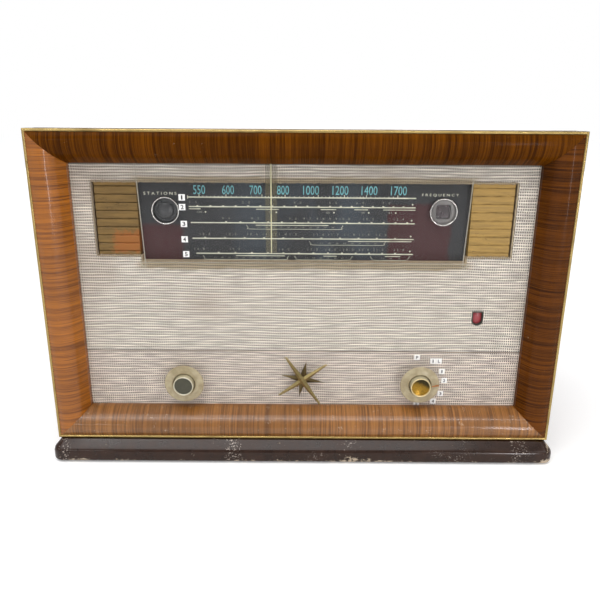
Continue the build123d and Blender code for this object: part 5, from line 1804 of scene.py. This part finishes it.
# ---- studio ----
@dataclass
class Studio:
    """Floor, soft lights and camera."""

    camera_place: tuple[float, float, float] = (-0.0038, -0.7327, 0.3819)
    yaw: float = 0.0004
    pitch: float = 0.3073
    roll: float = 0.0061
    lens: float = 37.694
    floor_half: float = 6.0
    ambient: Colour = (0.33, 0.335, 0.345)
    lamps: tuple = (
        ("ceiling_tube", (0.1, -0.85, 1.6), (0.0, 0.0, 0.2), (2.4, 0.05), 6.0, (1.0, 0.98, 0.95)),
        ("right_light", (1.2, -1.3, 1.0), (0.0, 0.0, 0.2), (0.8, 0.8), 3.2, (1.0, 0.98, 0.96)),
        ("right_strip", (0.70, -1.53, 0.17), (-0.25, -0.1, 0.28), (0.10, 0.30), 2.0, (1.0, 0.95, 0.97)),
        ("low_left", (-0.95, -2.1, 0.56), (-0.22, -0.1, 0.03), (0.35, 0.035), 1.3, (1.0, 0.98, 0.96)),
        ("low_right", (0.80, -2.1, 0.56), (0.20, -0.1, 0.03), (0.50, 0.035), 1.8, (1.0, 0.98, 0.96)),
        ("rear_glow", (0.0, 3.0, 0.5), (0.0, 0.0, 0.35), (4.0, 0.7), 9.5),
        ("left_light", (-1.4, -1.5, 0.8), (0.0, 0.0, 0.2), (1.2, 1.2), 1.5, (0.95, 0.97, 1.0)))

    def camera(self) -> None:
        """Camera turned by roll about its view, pitch down and yaw."""
        data = bpy.data.cameras.new("camera")
        data.lens, data.sensor_width = self.lens, 36.0
        made = bpy.data.objects.new("camera", data)
        to_view = (Matrix.Rotation(self.roll, 3, "Y") @ Matrix.Rotation(self.pitch, 3, "X")
                   @ Matrix.Rotation(-self.yaw, 3, "Z"))
        right, ahead, up = (to_view.transposed().col[k] for k in range(3))
        turn = Matrix((right, up, -ahead)).transposed()
        made.matrix_world = Matrix.Translation(self.camera_place) @ turn.to_4x4()
        bpy.context.scene.collection.objects.link(made)
        bpy.context.scene.camera = made

    def area(self, name: str, place: Sequence[float], aim: Sequence[float], size: tuple[float, float],
             power: float, colour: Colour = (1.0, 1.0, 1.0)) -> None:
        """A rectangular soft light at a place, aimed at a point.

        Args:
            name: of the light
            place: in metres
            aim: the point
            size: width and height
            power: watts
            colour: of its light
        """
        data = bpy.data.lights.new(name, "AREA")
        data.shape, data.size, data.size_y, data.energy, data.color = "RECTANGLE", *size, power, colour
        made = bpy.data.objects.new(name, data)
        gaze = np.asarray(aim, float) - np.asarray(place, float)
        gaze /= np.linalg.norm(gaze)
        side = np.cross(gaze, (0.0, 0.0, 1.0)) if abs(gaze[2]) < 0.98 else np.array([1.0, 0.0, 0.0])
        side /= np.linalg.norm(side)
        up = np.cross(side, gaze)
        turn = Matrix((side.tolist(), up.tolist(), (-gaze).tolist())).transposed()
        made.matrix_world = Matrix.Translation(place) @ turn.to_4x4()
        bpy.context.scene.collection.objects.link(made)

    def sun(self, direction: Sequence[float], power: float, spread: float) -> None:
        """A very soft sun shining along a direction, its disc as wide as spread degrees.

        Args:
            direction: down its rays
            power: strength
            spread: degrees
        """
        data = bpy.data.lights.new("soft_sun", "SUN")
        data.energy, data.angle = power, math.radians(spread)
        made = bpy.data.objects.new("soft_sun", data)
        made.matrix_world = Vector(direction).to_track_quat("-Z", "Y").to_matrix().to_4x4()
        bpy.context.scene.collection.objects.link(made)

    def floor(self) -> None:
        """A plain pale floor."""
        s = self.floor_half
        mesh = bpy.data.meshes.new("floor")
        mesh.from_pydata([(-s, -s, 0), (s, -s, 0), (s, s, 0), (-s, s, 0)], [], [(0, 1, 2, 3)])
        mesh.materials.append(FLOOR.material())
        made = bpy.data.objects.new("floor", mesh)
        bpy.context.scene.collection.objects.link(made)

    def build(self) -> None:
        """Sets the world, the floor, the soft lights and the camera."""
        world = bpy.data.worlds.new("studio")
        bpy.context.scene.world = world
        world.use_nodes = True
        bpy.context.scene.view_settings.view_transform = "Standard"
        graph = Graph(world.node_tree)
        ray = graph.node("LightPath")
        graph.feed(world.node_tree.nodes["Background"].inputs["Color"],
                   graph.mix(ray.outputs["Is Camera Ray"], self.ambient, (1.0, 1.0, 1.0)))
        self.floor()
        self.sun((0.25, 0.34, -1.0), 1.7, 60.0)
        for lamp in self.lamps:
            self.area(*lamp)
        self.camera()


def main() -> None:
    """Builds the studio and every sub-assembly, in order."""
    logging.basicConfig(level=logging.INFO, format="%(name)s %(message)s")
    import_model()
    maker = Maker(Datum.from_frame())
    LOG.info("front plane %.4f m, frame underside %.4f m", maker.datum.front, maker.datum.base)
    Studio().build()
    for part in (FrontFrame(maker), Plinth(maker), Case(maker), ClothFront(maker), Dial(maker),
                 Pointer(maker),
                 Knobs(maker), Starburst(maker), Pilot(maker), Inside(maker)):
        part.build()
        LOG.info("%s is built", type(part).__name__)


if __name__ == "__main__":
    main()
